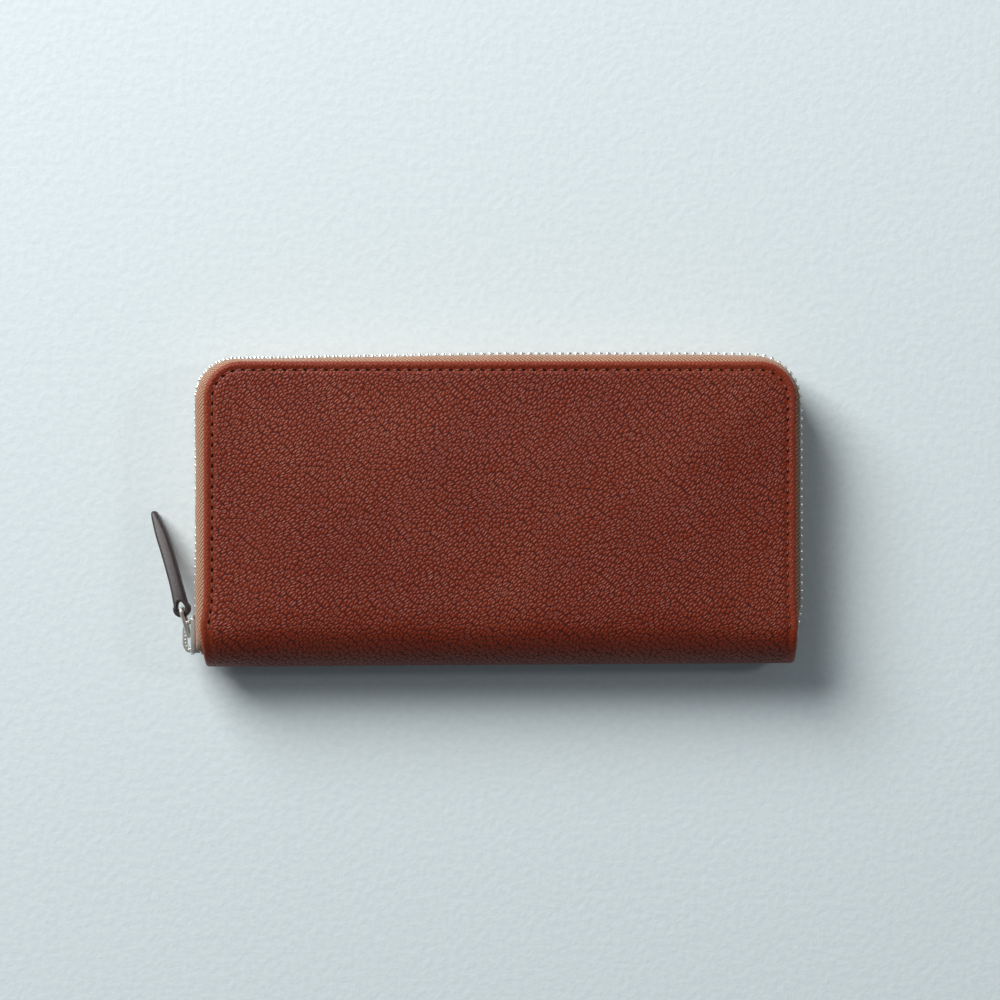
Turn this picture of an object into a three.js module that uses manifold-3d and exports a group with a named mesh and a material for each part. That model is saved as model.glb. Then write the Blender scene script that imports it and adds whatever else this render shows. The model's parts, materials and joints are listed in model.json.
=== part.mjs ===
// A long zip-around wallet, closed and lying on its back cover.
// Millimetres. +X runs along the long side, +Y from the rolled spine to the opening edge, +Z up
// through the thickness. The origin is on the flat outer face of the back cover.
//
// Each cover is a stack: outer leather, stiffening board, lining, card panel. The zip tapes are sewn
// between the leather and the lining, and bulge out round three sides to the teeth, which meet at
// half thickness. The covers open about the centre line of the roll, and a zipped coin pocket
// stands in the middle between two bill compartments with folded side gussets.

import * as THREE from "three";
import { mergeVertices } from "three/addons/utils/BufferGeometryUtils.js";
import Module from "manifold-3d";

const wasm = await Module();
wasm.setup();

// ---- Driving dimensions ----
const WIDTH = 192; // cover, along X
const HEIGHT = 98; // cover with its roll, along Y
const THICKNESS = 25; // closed wallet, along Z
const CORNER = 12; // radius of the two far corners of a cover
const GAP = 0.3; // clearance between pieces that lie against each other

const LEATHER = 1.3;
const BOARD = 0.6;
const LINING = 0.7;
const BACKING = 0.6; // board behind the card slots
const LINING_INSET = 1.5; // the lining's edge inside the cover's edge
const BOARD_INSET = 7; // clears the sewn part of the zip tape
const PANEL_INSET = 4; // sides of the card panel
const PANEL_TOP_INSET = 5;

const SLOT_COUNT = 4;
const SLOT_PITCH = 12; // from one card slot's mouth to the next
const SLOT_TUCK = 2; // how far a slot reaches behind the one below it
const SLOT_THICK = 0.5;
const SLOT_RISE = 1.4; // how far a slot's mouth stands off its own foot
const SLOT_SIDE_INSET = 3; // inside the card panel's sides
const TOP_MOUTH = 10; // from the card panel's top edge to the highest mouth

const SEAM_INSET = 2.8; // stitch line inside the cover's edge
const SEAM_GROOVE = 1.1; // width
const SEAM_DEPTH = 0.75;
const THREAD = 0.5;

const BULGE_LEFT = 2.9; // how far the tooth line stands outside the cover, side by side
const BULGE_TOP = 2.4;
const BULGE_RIGHT = 2.2;
const ZIP_CORNER = 14.5; // radius of the tooth line's corners
const TAPE = 0.5;
const TAPE_SEWN = 8; // from the tooth line to the tape's sewn edge
const TAPE_FLAT = 4.8; // half width of the flat band that the slider runs on
const TAPE_IN_ROLL = 8.5; // how far the tape runs on round the roll

const TOOTH_PITCH = 2.54;
const TOOTH_BACK = 1.9; // from the zip's centre line to the back of a tooth row
const TOOTH_GAP = 0.3; // half the gap between the two zigzags
const TOOTH_WAVE = 0.6; // half height of the zigzag
const TOOTH_THICK = 1.7;
const COIN_PITCH = 2;
const COIN_TOOTH_BACK = 1.5;
const COIN_TOOTH_WAVE = 0.5;
const COIN_TOOTH_THICK = 1.6;

const SLIDER_LENGTH = 13;
const SLIDER_WIDTH = 8.4;
const SLIDER_WING = 0.8;
const SLIDER_LIP = 0.8;
const SLIDER_POST = 1.8;
const SLIDER_FROM_SPINE = 9; // centre of the closed slider from the outside of the roll
const BRIDGE_WIDTH = 3.2;
const BRIDGE_STRAP = 1.2;
const BRIDGE_LENGTH = 10.5;

const LINK_WIRE = 1.2;
const LINK_LENGTH = 9.2; // between the centres of its two end bars
const LINK_ANGLE = 14.5; // degrees that the link leans out from the zip
const PULL_WIDTH = 7;
const PULL_THICK = 3.9;
const PULL_TIP = 1.9; // thickness at the pressed end
const PULL_LENGTH = 34.7; // from the eye to the tip
const PULL_EYE = 1.5; // radius
const PULL_ANGLE = 14; // degrees that the pull leans out at its eye
const PULL_BEND = 9; // further degrees that it turns by its tip

const COIN_DEPTH = 3.6; // coin pocket, outside
const COIN_WALL = 0.7;
const COIN_SIDE = 8; // the coin pocket's sides inside the cover's sides
const COIN_TOP = 26; // Y of its top edge
const COIN_BINDING = 3;
const COIN_TAPE = 0.4;
const COIN_TAPE_RISE = 3; // tape that shows above the pocket's walls
const COIN_SLIDER_LENGTH = 9;
const COIN_SLIDER_SHELL = 0.8;
const COIN_PULL_LENGTH = 13;
const COIN_PULL_WIDTH = 4.8;
const COIN_BAR = 1;

const GUSSET = 0.4;
const GUSSET_FOLD = 21.5; // how far the folds reach in from the sides
const GUSSET_TOP = 26; // Y of the gussets' top edges
const FOOT = 2; // lowest edge of the inner pieces above the centre line of the roll

// ---- Places that follow from them ----
const half = THICKNESS / 2;
const left = -WIDTH / 2;
const right = WIDTH / 2;
const top = HEIGHT / 2;
const rollY = -HEIGHT / 2 + half; // centre line of the roll, where the covers turn

// Layers, as distances from the middle plane
const leatherIn = half - LEATHER;
const boardOut = leatherIn - GAP;
const boardIn = boardOut - BOARD;
const liningOut = boardIn - GAP;
const liningIn = liningOut - LINING;
const backingOut = liningIn - GAP;
const backingIn = backingOut - BACKING;
const slotFoot = backingIn - GAP - SLOT_THICK;
const slotMouth = slotFoot - SLOT_RISE;
const coinOut = COIN_DEPTH / 2;
const coinIn = coinOut - COIN_WALL;

const zipLeft = left - BULGE_LEFT;
const zipRight = right + BULGE_RIGHT;
const zipTop = top + BULGE_TOP;
const sliderY = -HEIGHT / 2 + SLIDER_FROM_SPINE;
const panelFoot = rollY + FOOT + 0.5;

// ---- Materials ----
const material = (color, roughness, metalness = 0) =>
  new THREE.MeshStandardMaterial({ color, roughness, metalness });
const leatherBrown = material("#7a3320", 0.5);
const slotLeather = material("#6f3322", 0.55);
const pullLeather = material("#3a302f", 0.5);
const liningCloth = material("#8a6a52", 0.85);
const boardGrey = material("#8c8272", 0.9);
const tapeCloth = material("#a9805f", 0.85);
const threadBrown = material("#6b3220", 0.8);
const nickel = material("#c9c8c2", 0.28, 1);

// ---- Helpers ----

const plate = (shape, z, depth) =>
  new THREE.ExtrudeGeometry(shape, { depth, bevelEnabled: false, curveSegments: 8 }).translate(0, 0, z);

const block = (x0, x1, y0, y1, z0, z1) =>
  new THREE.BoxGeometry(x1 - x0, y1 - y0, z1 - z0).translate((x0 + x1) / 2, (y0 + y1) / 2, (z0 + z1) / 2);

const polygon = (points) => new THREE.Shape(points.map(([x, y]) => new THREE.Vector2(x, y)));

// The outline of a cover layer: straight at the roll, with the two far corners rounded.
function coverOutline(inset, bottom) {
  const radius = Math.max(CORNER - inset, 1);
  const shape = new THREE.Shape();
  shape.moveTo(left + inset, bottom);
  shape.lineTo(right - inset, bottom);
  shape.lineTo(right - inset, top - inset - radius);
  shape.absarc(right - inset - radius, top - inset - radius, radius, 0, Math.PI / 2);
  shape.lineTo(left + inset + radius, top - inset);
  shape.absarc(left + inset + radius, top - inset - radius, radius, Math.PI / 2, Math.PI);
  return shape;
}

// A band that follows a cover's edge round its three sides, from inset to inset + width.
function edgeBand(inset, width, bottom) {
  const shape = coverOutline(inset, bottom);
  const inner = coverOutline(inset + width, bottom).getPoints(8);
  const outer = shape.getPoints(8);
  return new THREE.Shape([...outer.slice(1), outer[0], inner[0], ...inner.slice(1).reverse()]);
}

// A manifold solid from a geometry, and a geometry from a solid.
function toSolid(geometry) {
  const bare = new THREE.BufferGeometry().setAttribute("position", geometry.getAttribute("position"));
  bare.setIndex(geometry.index);
  const merged = mergeVertices(bare, 1e-4);
  return new wasm.Manifold(
    new wasm.Mesh({
      numProp: 3,
      vertProperties: new Float32Array(merged.attributes.position.array),
      triVerts: new Uint32Array(merged.index.array),
    }),
  );
}

function toGeometry(solid) {
  const mesh = solid.getMesh();
  const geometry = new THREE.BufferGeometry();
  geometry.setAttribute("position", new THREE.BufferAttribute(mesh.vertProperties, 3));
  geometry.setIndex(new THREE.BufferAttribute(mesh.triVerts, 1));
  return geometry;
}

const join = (...parts) => toGeometry(parts.map(toSolid).reduce((all, part) => all.add(part)));
const cut = (from, ...tools) =>
  toGeometry(tools.map(toSolid).reduce((rest, tool) => rest.subtract(tool), toSolid(from)));

// A closed skin through a row of rings, each given by the same section's points. The section runs
// anticlockwise as seen from the first ring's end, and also gives the two caps.
function skin(rings, section) {
  const n = section.length;
  const index = [];
  for (let r = 0; r + 1 < rings.length; r++) {
    for (let k = 0; k < n; k++) {
      const a = r * n + k;
      const b = r * n + ((k + 1) % n);
      index.push(a, a + n, b, b, a + n, b + n);
    }
  }
  const last = (rings.length - 1) * n;
  const flat = section.map(([x, y]) => new THREE.Vector2(x, y));
  for (const [a, b, c] of THREE.ShapeUtils.triangulateShape(flat, [])) {
    index.push(a, b, c, last + a, last + c, last + b);
  }
  const geometry = new THREE.BufferGeometry();
  geometry.setAttribute("position", new THREE.Float32BufferAttribute(rings.flat().flat(), 3));
  geometry.setIndex(index);
  return geometry;
}

// The two sides of a thin strip about a line of points.
function stripOutline(line, thickness) {
  const side = (sign) =>
    line.map(([x, y], i) => {
      const [ax, ay] = line[Math.max(i - 1, 0)];
      const [bx, by] = line[Math.min(i + 1, line.length - 1)];
      const before = new THREE.Vector2(x - ax, y - ay).normalize();
      const after = new THREE.Vector2(bx - x, by - y).normalize();
      const along = before.clone().add(after).normalize();
      const reference = before.length() > 0 ? before : after;
      const stretch = (thickness / 2) * sign / Math.max(along.dot(reference), 0.35);
      return [x - along.y * stretch, y + along.x * stretch];
    });
  return [...side(-1), ...side(1).reverse()];
}

// ---- The tooth line: up the left side, along the top and down the right side ----

const zipTurn = (ZIP_CORNER * Math.PI) / 2;
const zipSide = zipTop - ZIP_CORNER - rollY; // straight run above the roll's centre line
const zipAcross = zipRight - zipLeft - 2 * ZIP_CORNER;
const zipLength = 2 * zipSide + 2 * zipTurn + zipAcross;

// The point at distance s from the left end of the tooth line, and the direction out of the wallet.
// A negative s, and one past the end, lies on the straight run beside the roll.
function zipPoint(s) {
  if (s <= zipSide) return { x: zipLeft, y: rollY + s, out: [-1, 0] };
  s -= zipSide;
  if (s <= zipTurn) return onCorner(zipLeft + ZIP_CORNER, Math.PI - s / ZIP_CORNER);
  s -= zipTurn;
  if (s <= zipAcross) return { x: zipLeft + ZIP_CORNER + s, y: zipTop, out: [0, 1] };
  s -= zipAcross;
  if (s <= zipTurn) return onCorner(zipRight - ZIP_CORNER, Math.PI / 2 - s / ZIP_CORNER);
  s -= zipTurn;
  return { x: zipRight, y: zipTop - ZIP_CORNER - s, out: [1, 0] };
}

function onCorner(centreX, angle) {
  const out = [Math.cos(angle), Math.sin(angle)];
  return { x: centreX + ZIP_CORNER * out[0], y: zipTop - ZIP_CORNER + ZIP_CORNER * out[1], out };
}

// A section point (inwards from the tooth line, away from the middle plane) set at distance s.
function zipRing(s, section) {
  const { x, y, out } = zipPoint(s);
  return section.map(([inward, h]) => [x - out[0] * inward, y - out[1] * inward, h]);
}

// ---- One cover, in its own frame: z is 0 at the middle plane and grows outwards ----

function coverPieces(name) {
  const seamStart = rollY + GAP;
  const leather = cut(
    plate(coverOutline(0, rollY + GAP / 2), leatherIn, LEATHER),
    plate(edgeBand(SEAM_INSET - SEAM_GROOVE / 2, SEAM_GROOVE, rollY - 1), half - SEAM_DEPTH, LEATHER),
  );
  const thread = plate(
    edgeBand(SEAM_INSET - THREAD / 2, THREAD, seamStart),
    half - SEAM_DEPTH + THREAD / 8,
    THREAD - THREAD / 8,
  );
  return [
    [name + "_leather", leather, leatherBrown],
    [name + "_stitching", thread, threadBrown],
    [name + "_board", plate(coverOutline(BOARD_INSET, rollY + 1), boardIn, BOARD), boardGrey],
    [name + "_lining", plate(coverOutline(LINING_INSET, rollY + GAP / 2), liningIn, LINING), liningCloth],
    [name + "_card_panel", plate(cardPanelOutline(), backingIn, BACKING), liningCloth],
    ...cardSlots(name),
  ];
}

function cardPanelOutline() {
  const side = right - PANEL_INSET;
  const high = top - PANEL_TOP_INSET;
  return polygon([
    [-side, panelFoot],
    [side, panelFoot],
    [side, high],
    [-side, high],
  ]);
}

// Card slots overlap like shingles: each mouth lies over the foot of the slot above it.
function cardSlots(name) {
  const side = right - PANEL_INSET - SLOT_SIDE_INSET;
  const slots = [];
  for (let k = 0; k < SLOT_COUNT; k++) {
    const mouth = top - PANEL_TOP_INSET - TOP_MOUTH - SLOT_PITCH * (SLOT_COUNT - 1 - k);
    const foot = k === 0 ? panelFoot + 0.5 : mouth - SLOT_PITCH - SLOT_TUCK;
    const profile = polygon([
      [foot, slotFoot],
      [mouth, slotMouth],
      [mouth, slotMouth + SLOT_THICK],
      [foot, slotFoot + SLOT_THICK],
    ]);
    const slot = new THREE.ExtrudeGeometry(profile, { depth: 2 * side, bevelEnabled: false });
    slot.applyMatrix4(new THREE.Matrix4().set(0, 0, 1, -side, 1, 0, 0, 0, 0, 1, 0, 0, 0, 0, 0, 1));
    slots.push([name + "_card_slot_" + (k + 1), slot, slotLeather]);
  }
  return slots;
}

// The tape: flat beside the teeth, round the bulge, and flat again between leather and lining.
function zipTape() {
  const level = (boardIn + boardOut) / 2;
  const rise = level - TAPE_FLAT;
  const line = [
    [0, TOOTH_BACK + GAP + 0.05],
    [0, TAPE_FLAT],
    [0.25, TAPE_FLAT + 0.28 * rise],
    [1, TAPE_FLAT + 0.6 * rise],
    [2.1, TAPE_FLAT + 0.88 * rise],
    [3.3, level],
    [TAPE_SEWN, level],
  ];
  const section = stripOutline(line, TAPE);
  const inRoll = (s) => Math.max(-s, s - zipLength, 0);
  const bent = (s) => {
    // Beside the roll, the sewn edge comes down round the roll's circle.
    const reach = Math.sqrt(level * level - inRoll(s) ** 2);
    const share = (reach - TAPE_FLAT) / rise;
    return section.map(([d, h]) => [d, h > TAPE_FLAT ? TAPE_FLAT + (h - TAPE_FLAT) * share : h]);
  };
  const corner = (from) => [0, 1, 2, 3, 4, 5, 6, 7].map((k) => from + (zipTurn * k) / 7);
  const roll = [0.35, 0.7, 1].map((k) => k * TAPE_IN_ROLL);
  const stations = [
    ...roll.map((r) => -r).reverse(),
    0,
    ...corner(zipSide),
    ...corner(zipSide + zipTurn + zipAcross),
    zipLength,
    ...roll.map((r) => zipLength + r),
  ];
  return skin(
    stations.map((s) => zipRing(s, bent(s))),
    section,
  );
}

// A tooth row with a zigzag edge that meshes with the other row's, from tooth half-step to half-step.
function toothRow(firstStep, lastStep, phase) {
  const t = TOOTH_THICK / 2;
  const section = (low) => [
    [-t, low],
    [t, low],
    [t, TOOTH_BACK],
    [-t, TOOTH_BACK],
  ];
  const rings = [];
  for (let i = firstStep; i <= lastStep; i++) {
    const low = TOOTH_GAP + ((i + phase) % 2 === 0 ? -TOOTH_WAVE : TOOTH_WAVE);
    rings.push(zipRing((i * TOOTH_PITCH) / 2, section(low)));
  }
  return skin(rings, section(0));
}

// ---- Zip slider on the left side, with its bridge, link and leather pull ----

// Places in the slider's frame: x is outwards from the tooth line, y along it, z across it.
const wingIn = TOOTH_THICK / 2 + GAP;
const wingOut = wingIn + SLIDER_WING;
const linkBar = wingOut + GAP + LINK_WIRE / 2;
const bridgeIn = linkBar + LINK_WIRE / 2 + GAP;
const bridgeOut = bridgeIn + BRIDGE_STRAP;
const barY = -0.5; // the link's bar, from the slider's middle

function sliderBody() {
  const wing = (from, to) => {
    const l = SLIDER_LENGTH / 2;
    const w = SLIDER_WIDTH / 2;
    const nose = 1.2;
    const outline = polygon([
      [-l + nose, -w],
      [l - nose, -w],
      [l, -w + nose],
      [l, w - nose],
      [l - nose, w],
      [-l + nose, w],
      [-l, w - nose],
      [-l, -w + nose],
    ]);
    const flat = new THREE.ExtrudeGeometry(outline, { depth: to - from, bevelEnabled: false });
    // The outline's x runs along the zip and its y across it, and its depth runs outwards.
    return flat.applyMatrix4(new THREE.Matrix4().set(0, 0, 1, from, 1, 0, 0, 0, 0, 1, 0, 0, 0, 0, 0, 1));
  };
  const lipReach = TAPE / 2 + GAP;
  const lipEnd = SLIDER_LENGTH / 2 - 1.2;
  const across = [SLIDER_WIDTH / 2 - SLIDER_LIP, SLIDER_WIDTH / 2];
  const sunk = SLIDER_WING / 4;
  const lips = [];
  for (const side of [-1, 1]) {
    const [z0, z1] = side > 0 ? across : across.map((z) => -z).reverse();
    lips.push(block(lipReach, wingIn + sunk, -lipEnd, lipEnd, z0, z1));
    lips.push(block(-wingIn - sunk, -lipReach, -lipEnd, lipEnd, z0, z1));
  }
  const postY = -SLIDER_LENGTH / 2 + 0.5;
  const post = block(
    -wingIn - sunk,
    wingIn + sunk,
    postY,
    postY + 2,
    -SLIDER_POST / 2,
    SLIDER_POST / 2,
  );
  return join(wing(wingIn, wingOut), wing(-wingOut, -wingIn), post, ...lips);
}

function sliderBridge() {
  const foot = wingOut + GAP;
  const low = barY - BRIDGE_LENGTH / 2;
  const high = barY + BRIDGE_LENGTH / 2;
  const bend = 2; // the straps turn in over this length at each end
  const outline = polygon([
    [foot, low],
    [foot + 0.9, low],
    [bridgeOut - 0.5, low + bend / 2],
    [bridgeOut, low + bend],
    [bridgeOut, high - bend],
    [bridgeOut - 0.5, high - bend / 2],
    [foot + 0.9, high],
    [foot, high],
    [foot, high - BRIDGE_STRAP],
    [foot + 0.6, high - BRIDGE_STRAP],
    [bridgeIn, high - bend - 0.3],
    [bridgeIn, low + bend + 0.3],
    [foot + 0.6, low + BRIDGE_STRAP],
    [foot, low + BRIDGE_STRAP],
  ]);
  return plate(outline, -BRIDGE_WIDTH / 2, BRIDGE_WIDTH);
}

// A wire loop in an upright plane, narrow at the bridge and wide at the leather pull.
function pullLink() {
  const narrow = BRIDGE_WIDTH / 2 + 0.4 + LINK_WIRE / 2;
  const wide = PULL_WIDTH / 2 + 1 + LINK_WIRE / 2;
  const side = [
    [0, narrow - 0.9],
    [0.35, narrow - 0.2],
    [LINK_LENGTH * 0.5, (narrow + wide) / 2],
    [LINK_LENGTH - 0.9, wide],
    [LINK_LENGTH - 0.1, wide - 0.5],
    [LINK_LENGTH, wide - 1.3],
  ];
  const loop = [...side, ...side.map(([u, w]) => [u, -w]).reverse()];
  const curve = new THREE.CatmullRomCurve3(
    loop.map(([u, w]) => new THREE.Vector3(0, u, w)),
    true,
    "centripetal",
  );
  return new THREE.TubeGeometry(curve, 44, LINK_WIRE / 2, 6, true);
}

// A leather strip folded round the link and pressed together, seen along its width.
function leatherPull() {
  const bulb = PULL_EYE + PULL_THICK / 3;
  const shoulder = bulb + 1.6;
  const taper = PULL_LENGTH * 0.76;
  const turn = (u) => THREE.MathUtils.degToRad(PULL_BEND * (u / PULL_LENGTH));
  // The centre line turns evenly from its eye to its tip, so it is an arc.
  const radius = PULL_LENGTH / turn(PULL_LENGTH);
  const at = (u, v) => {
    const angle = turn(Math.max(u, 0));
    const centre = u <= 0 ? [0, u] : [-radius * (1 - Math.cos(angle)), radius * Math.sin(angle)];
    return [centre[0] - v * Math.cos(angle), centre[1] - v * Math.sin(angle)];
  };
  const tipRadius = PULL_TIP / 2;
  const sides = [
    [shoulder, PULL_THICK / 2 + 0.15],
    [shoulder + 3, PULL_THICK / 2],
    [taper * 0.5, PULL_THICK / 2],
    [taper, PULL_THICK / 2 - 0.1],
    [(taper + PULL_LENGTH) / 2, (PULL_THICK + PULL_TIP) / 4],
    [PULL_LENGTH - tipRadius, tipRadius],
  ];
  const bulbStart = Math.PI * 0.2;
  const round = [];
  for (let k = 0; k <= 10; k++) {
    const angle = Math.PI - bulbStart + ((Math.PI + 2 * bulbStart) * k) / 10;
    round.push([bulb * Math.cos(angle), bulb * Math.sin(angle)]);
  }
  const outline = [
    ...round,
    ...sides.map(([u, v]) => at(u, -v)),
    at(PULL_LENGTH, 0),
    ...sides.map(([u, v]) => at(u, v)).reverse(),
  ];
  const shape = polygon(outline);
  const eye = new THREE.Path();
  eye.absarc(0, 0, PULL_EYE, 0, 2 * Math.PI, true);
  shape.holes.push(eye);
  return plate(shape, -PULL_WIDTH / 2, PULL_WIDTH);
}

// ---- Coin pocket, in a frame whose z is 0 at the middle plane ----

const coinSide = right - COIN_SIDE;
const coinFoot = rollY + FOOT;
const coinToothY = COIN_TOP + COIN_TAPE_RISE + GAP;
const coinZipEnd = coinSide - 6;

function coinPocketPieces() {
  const wall = (from, to) => block(-coinSide, coinSide, coinFoot, COIN_TOP, from, to);
  const bindingDepth = coinIn - GAP;
  const bind = (x0, x1, y0, y1) => block(x0, x1, y0, y1, -bindingDepth, bindingDepth);
  const tapeOut = coinIn - GAP;
  const tapeLow = COIN_TOP - 6;
  const tape = (sign) =>
    block(
      -coinZipEnd,
      coinZipEnd,
      tapeLow,
      COIN_TOP + COIN_TAPE_RISE,
      sign > 0 ? tapeOut - COIN_TAPE : -tapeOut,
      sign > 0 ? tapeOut : -tapeOut + COIN_TAPE,
    );
  const sideTop = tapeLow - 1;
  const baseTop = coinFoot + COIN_BINDING;
  return [
    ["coin_wall_front", wall(coinIn, coinOut), slotLeather],
    ["coin_wall_back", wall(-coinOut, -coinIn), slotLeather],
    ["coin_binding_left", bind(-coinSide, -coinSide + COIN_BINDING, baseTop + GAP, sideTop), liningCloth],
    ["coin_binding_right", bind(coinSide - COIN_BINDING, coinSide, baseTop + GAP, sideTop), liningCloth],
    ["coin_binding_base", bind(-coinSide, coinSide, coinFoot, baseTop), liningCloth],
    ["coin_zip_tape_front", tape(1), tapeCloth],
    ["coin_zip_tape_back", tape(-1), tapeCloth],
    ["coin_zip_teeth_front", coinTeeth(1), nickel],
    ["coin_zip_teeth_back", coinTeeth(-1), nickel],
  ];
}

// A straight tooth row along X. The two rows' zigzags run side by side, with the gap between them.
function coinTeeth(sign) {
  const section = (low) => {
    const back = sign * COIN_TOOTH_BACK;
    const [a, b] = sign > 0 ? [low, back] : [back, low];
    return [
      [a, coinToothY],
      [b, coinToothY],
      [b, coinToothY + COIN_TOOTH_THICK],
      [a, coinToothY + COIN_TOOTH_THICK],
    ];
  };
  const steps = Math.floor((4 * (coinZipEnd - 1)) / COIN_PITCH);
  const rings = [];
  for (let i = 0; i <= steps; i++) {
    const x = ((i - steps / 2) * COIN_PITCH) / 2;
    const wave = i % 2 === 0 ? -COIN_TOOTH_WAVE : COIN_TOOTH_WAVE;
    rings.push(section(sign * TOOTH_GAP + wave).map(([z, y]) => [x, y, z]));
  }
  return skin(rings, section(0));
}

// A channel that wraps the two rows from above, with an arch for the pull on top.
const channelIn = COIN_TOOTH_BACK + GAP + 0.1;
const channelOut = channelIn + COIN_SLIDER_SHELL;
const channelRoof = coinToothY + COIN_TOOTH_THICK + GAP + 0.1;
const channelTop = channelRoof + COIN_SLIDER_SHELL;
const coinBarY = channelTop + 0.5 + COIN_BAR / 2;
const archIn = coinBarY + COIN_BAR / 2 + 0.5;

function coinSlider() {
  const slot = coinIn - GAP + 0.3; // half width of the slot that the two tapes pass through
  const lipTop = coinToothY - GAP;
  const lipLow = lipTop - COIN_SLIDER_SHELL;
  const section = polygon([
    [-channelOut, lipLow],
    [-slot, lipLow],
    [-slot, lipTop],
    [-channelIn, lipTop],
    [-channelIn, channelRoof],
    [channelIn, channelRoof],
    [channelIn, lipTop],
    [slot, lipTop],
    [slot, lipLow],
    [channelOut, lipLow],
    [channelOut, channelTop],
    [-channelOut, channelTop],
  ]);
  const channel = new THREE.ExtrudeGeometry(section, { depth: COIN_SLIDER_LENGTH, bevelEnabled: false });
  // The section's x runs across the zip, its y stays, and its depth runs along X.
  channel.translate(0, 0, -COIN_SLIDER_LENGTH / 2);
  channel.applyMatrix4(new THREE.Matrix4().set(0, 0, 1, 0, 0, 1, 0, 0, -1, 0, 0, 0, 0, 0, 0, 1));
  const strap = 0.9;
  const reach = 1.7;
  const arch = polygon([
    [-reach - strap, channelTop - 0.2],
    [-reach, channelTop - 0.2],
    [-reach, archIn],
    [reach, archIn],
    [reach, channelTop - 0.2],
    [reach + strap, channelTop - 0.2],
    [reach + strap, archIn + strap / 2],
    [reach + strap / 2, archIn + strap],
    [-reach - strap / 2, archIn + strap],
    [-reach - strap, archIn + strap / 2],
  ]);
  return join(channel, plate(arch, -0.9, 1.8));
}

function coinPull() {
  const w = COIN_PULL_WIDTH / 2;
  const bar = COIN_BAR / 2;
  const outline = polygon([
    [-bar, -w + 0.6],
    [bar, -w],
    [COIN_PULL_LENGTH - 1.5, -w],
    [COIN_PULL_LENGTH, -w + 1.5],
    [COIN_PULL_LENGTH, w - 1.5],
    [COIN_PULL_LENGTH - 1.5, w],
    [bar, w],
    [-bar, w - 0.6],
  ]);
  outline.holes.push(
    polygon([
      [bar, -1.25],
      [bar, 1.25],
      [4.5, 1.25],
      [4.5, -1.25],
    ]),
  );
  const tab = new THREE.ExtrudeGeometry(outline, { depth: COIN_BAR, bevelEnabled: false });
  tab.translate(0, 0, -COIN_BAR / 2);
  return tab.rotateX(Math.PI / 2);
}

// ---- Side gussets: folded sheets that join the card panels past the coin pocket's edge ----

function gusset(sign) {
  const side = right - PANEL_INSET;
  const slotEdge = slotMouth - GAP - GUSSET / 2 - 0.05;
  const nearCoin = coinOut + GAP + GUSSET / 2 + 0.1;
  const fold = (slotEdge + nearCoin) / 2;
  const half1 = [
    [side - 0.6, backingIn - 1],
    [side - 1.2, slotEdge + 0.8],
    [side - 2.4, slotEdge - 0.1],
    [side - GUSSET_FOLD, fold],
    [side - 2.2, nearCoin],
    [side - 0.7, nearCoin - 0.9],
  ];
  const line = [...half1, ...half1.map(([x, h]) => [x, -h]).reverse()];
  const outline = stripOutline(
    line.map(([x, h]) => [sign * x, h]),
    GUSSET,
  );
  const sheet = new THREE.ExtrudeGeometry(polygon(outline), {
    depth: GUSSET_TOP - panelFoot,
    bevelEnabled: false,
  });
  // The outline's y becomes z, and its depth runs towards the roll.
  return sheet.rotateX(Math.PI / 2).translate(0, GUSSET_TOP, 0);
}

// ---- Spine: the leather and the lining carried round the roll ----

function rollShell(outer, inner, halfWidth) {
  const shape = new THREE.Shape();
  const inset = Math.asin(GAP / 2 / outer); // leaves a gap to the covers at each end
  shape.absarc(0, 0, outer, Math.PI / 2 + inset, (3 * Math.PI) / 2 - inset);
  shape.absarc(0, 0, inner, (3 * Math.PI) / 2 - inset, Math.PI / 2 + inset, true);
  const shell = new THREE.ExtrudeGeometry(shape, {
    depth: 2 * halfWidth,
    bevelEnabled: false,
    curveSegments: 16,
  });
  // The shape's x is along Y and its y along Z, and its depth runs along X.
  shell.applyMatrix4(
    new THREE.Matrix4().set(0, 0, 1, -halfWidth, 1, 0, 0, rollY, 0, 1, 0, 0, 0, 0, 0, 1),
  );
  return shell;
}

// ---- Assembly ----

const wallet = new THREE.Group();

function add(group, name, geometry, look) {
  const mesh = new THREE.Mesh(geometry, look);
  mesh.name = name;
  group.add(mesh);
  return mesh;
}

const middle = new THREE.Group(); // z is 0 on the middle plane
middle.position.z = half;
wallet.add(middle);

const frontHalf = new THREE.Group();
const backHalf = new THREE.Group(); // the same pieces, mirrored through the middle plane
backHalf.scale.z = -1;
middle.add(frontHalf, backHalf);

for (const [name, group] of [
  ["front", frontHalf],
  ["back", backHalf],
]) {
  for (const [piece, geometry, look] of coverPieces(name)) add(group, piece, geometry, look);
  add(group, "zip_tape_" + name, zipTape(), tapeCloth);
}

// The front row stops above the closed slider, so that the cover can lift it out; both rows stop
// short of the end stop on the right.
const lastStep = Math.floor((2 * zipLength) / TOOTH_PITCH);
const sliderTop = sliderY + SLIDER_LENGTH / 2 - rollY;
const frontFirst = Math.ceil((2 * (sliderTop + 2.3)) / TOOTH_PITCH);
const backFirst = Math.ceil((2 * (sliderY - rollY)) / TOOTH_PITCH);
add(frontHalf, "zip_teeth_front", toothRow(frontFirst, lastStep - 2, 0), nickel);
add(backHalf, "zip_teeth_back", toothRow(backFirst, lastStep - 1, 1), nickel);
add(
  middle,
  "zip_end_stop",
  block(
    zipRight - TOOTH_THICK / 2 - GAP,
    zipRight + TOOTH_THICK / 2 + GAP,
    rollY - 3.8,
    rollY - 1.3,
    -TOOTH_BACK,
    TOOTH_BACK,
  ),
  nickel,
);

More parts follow.
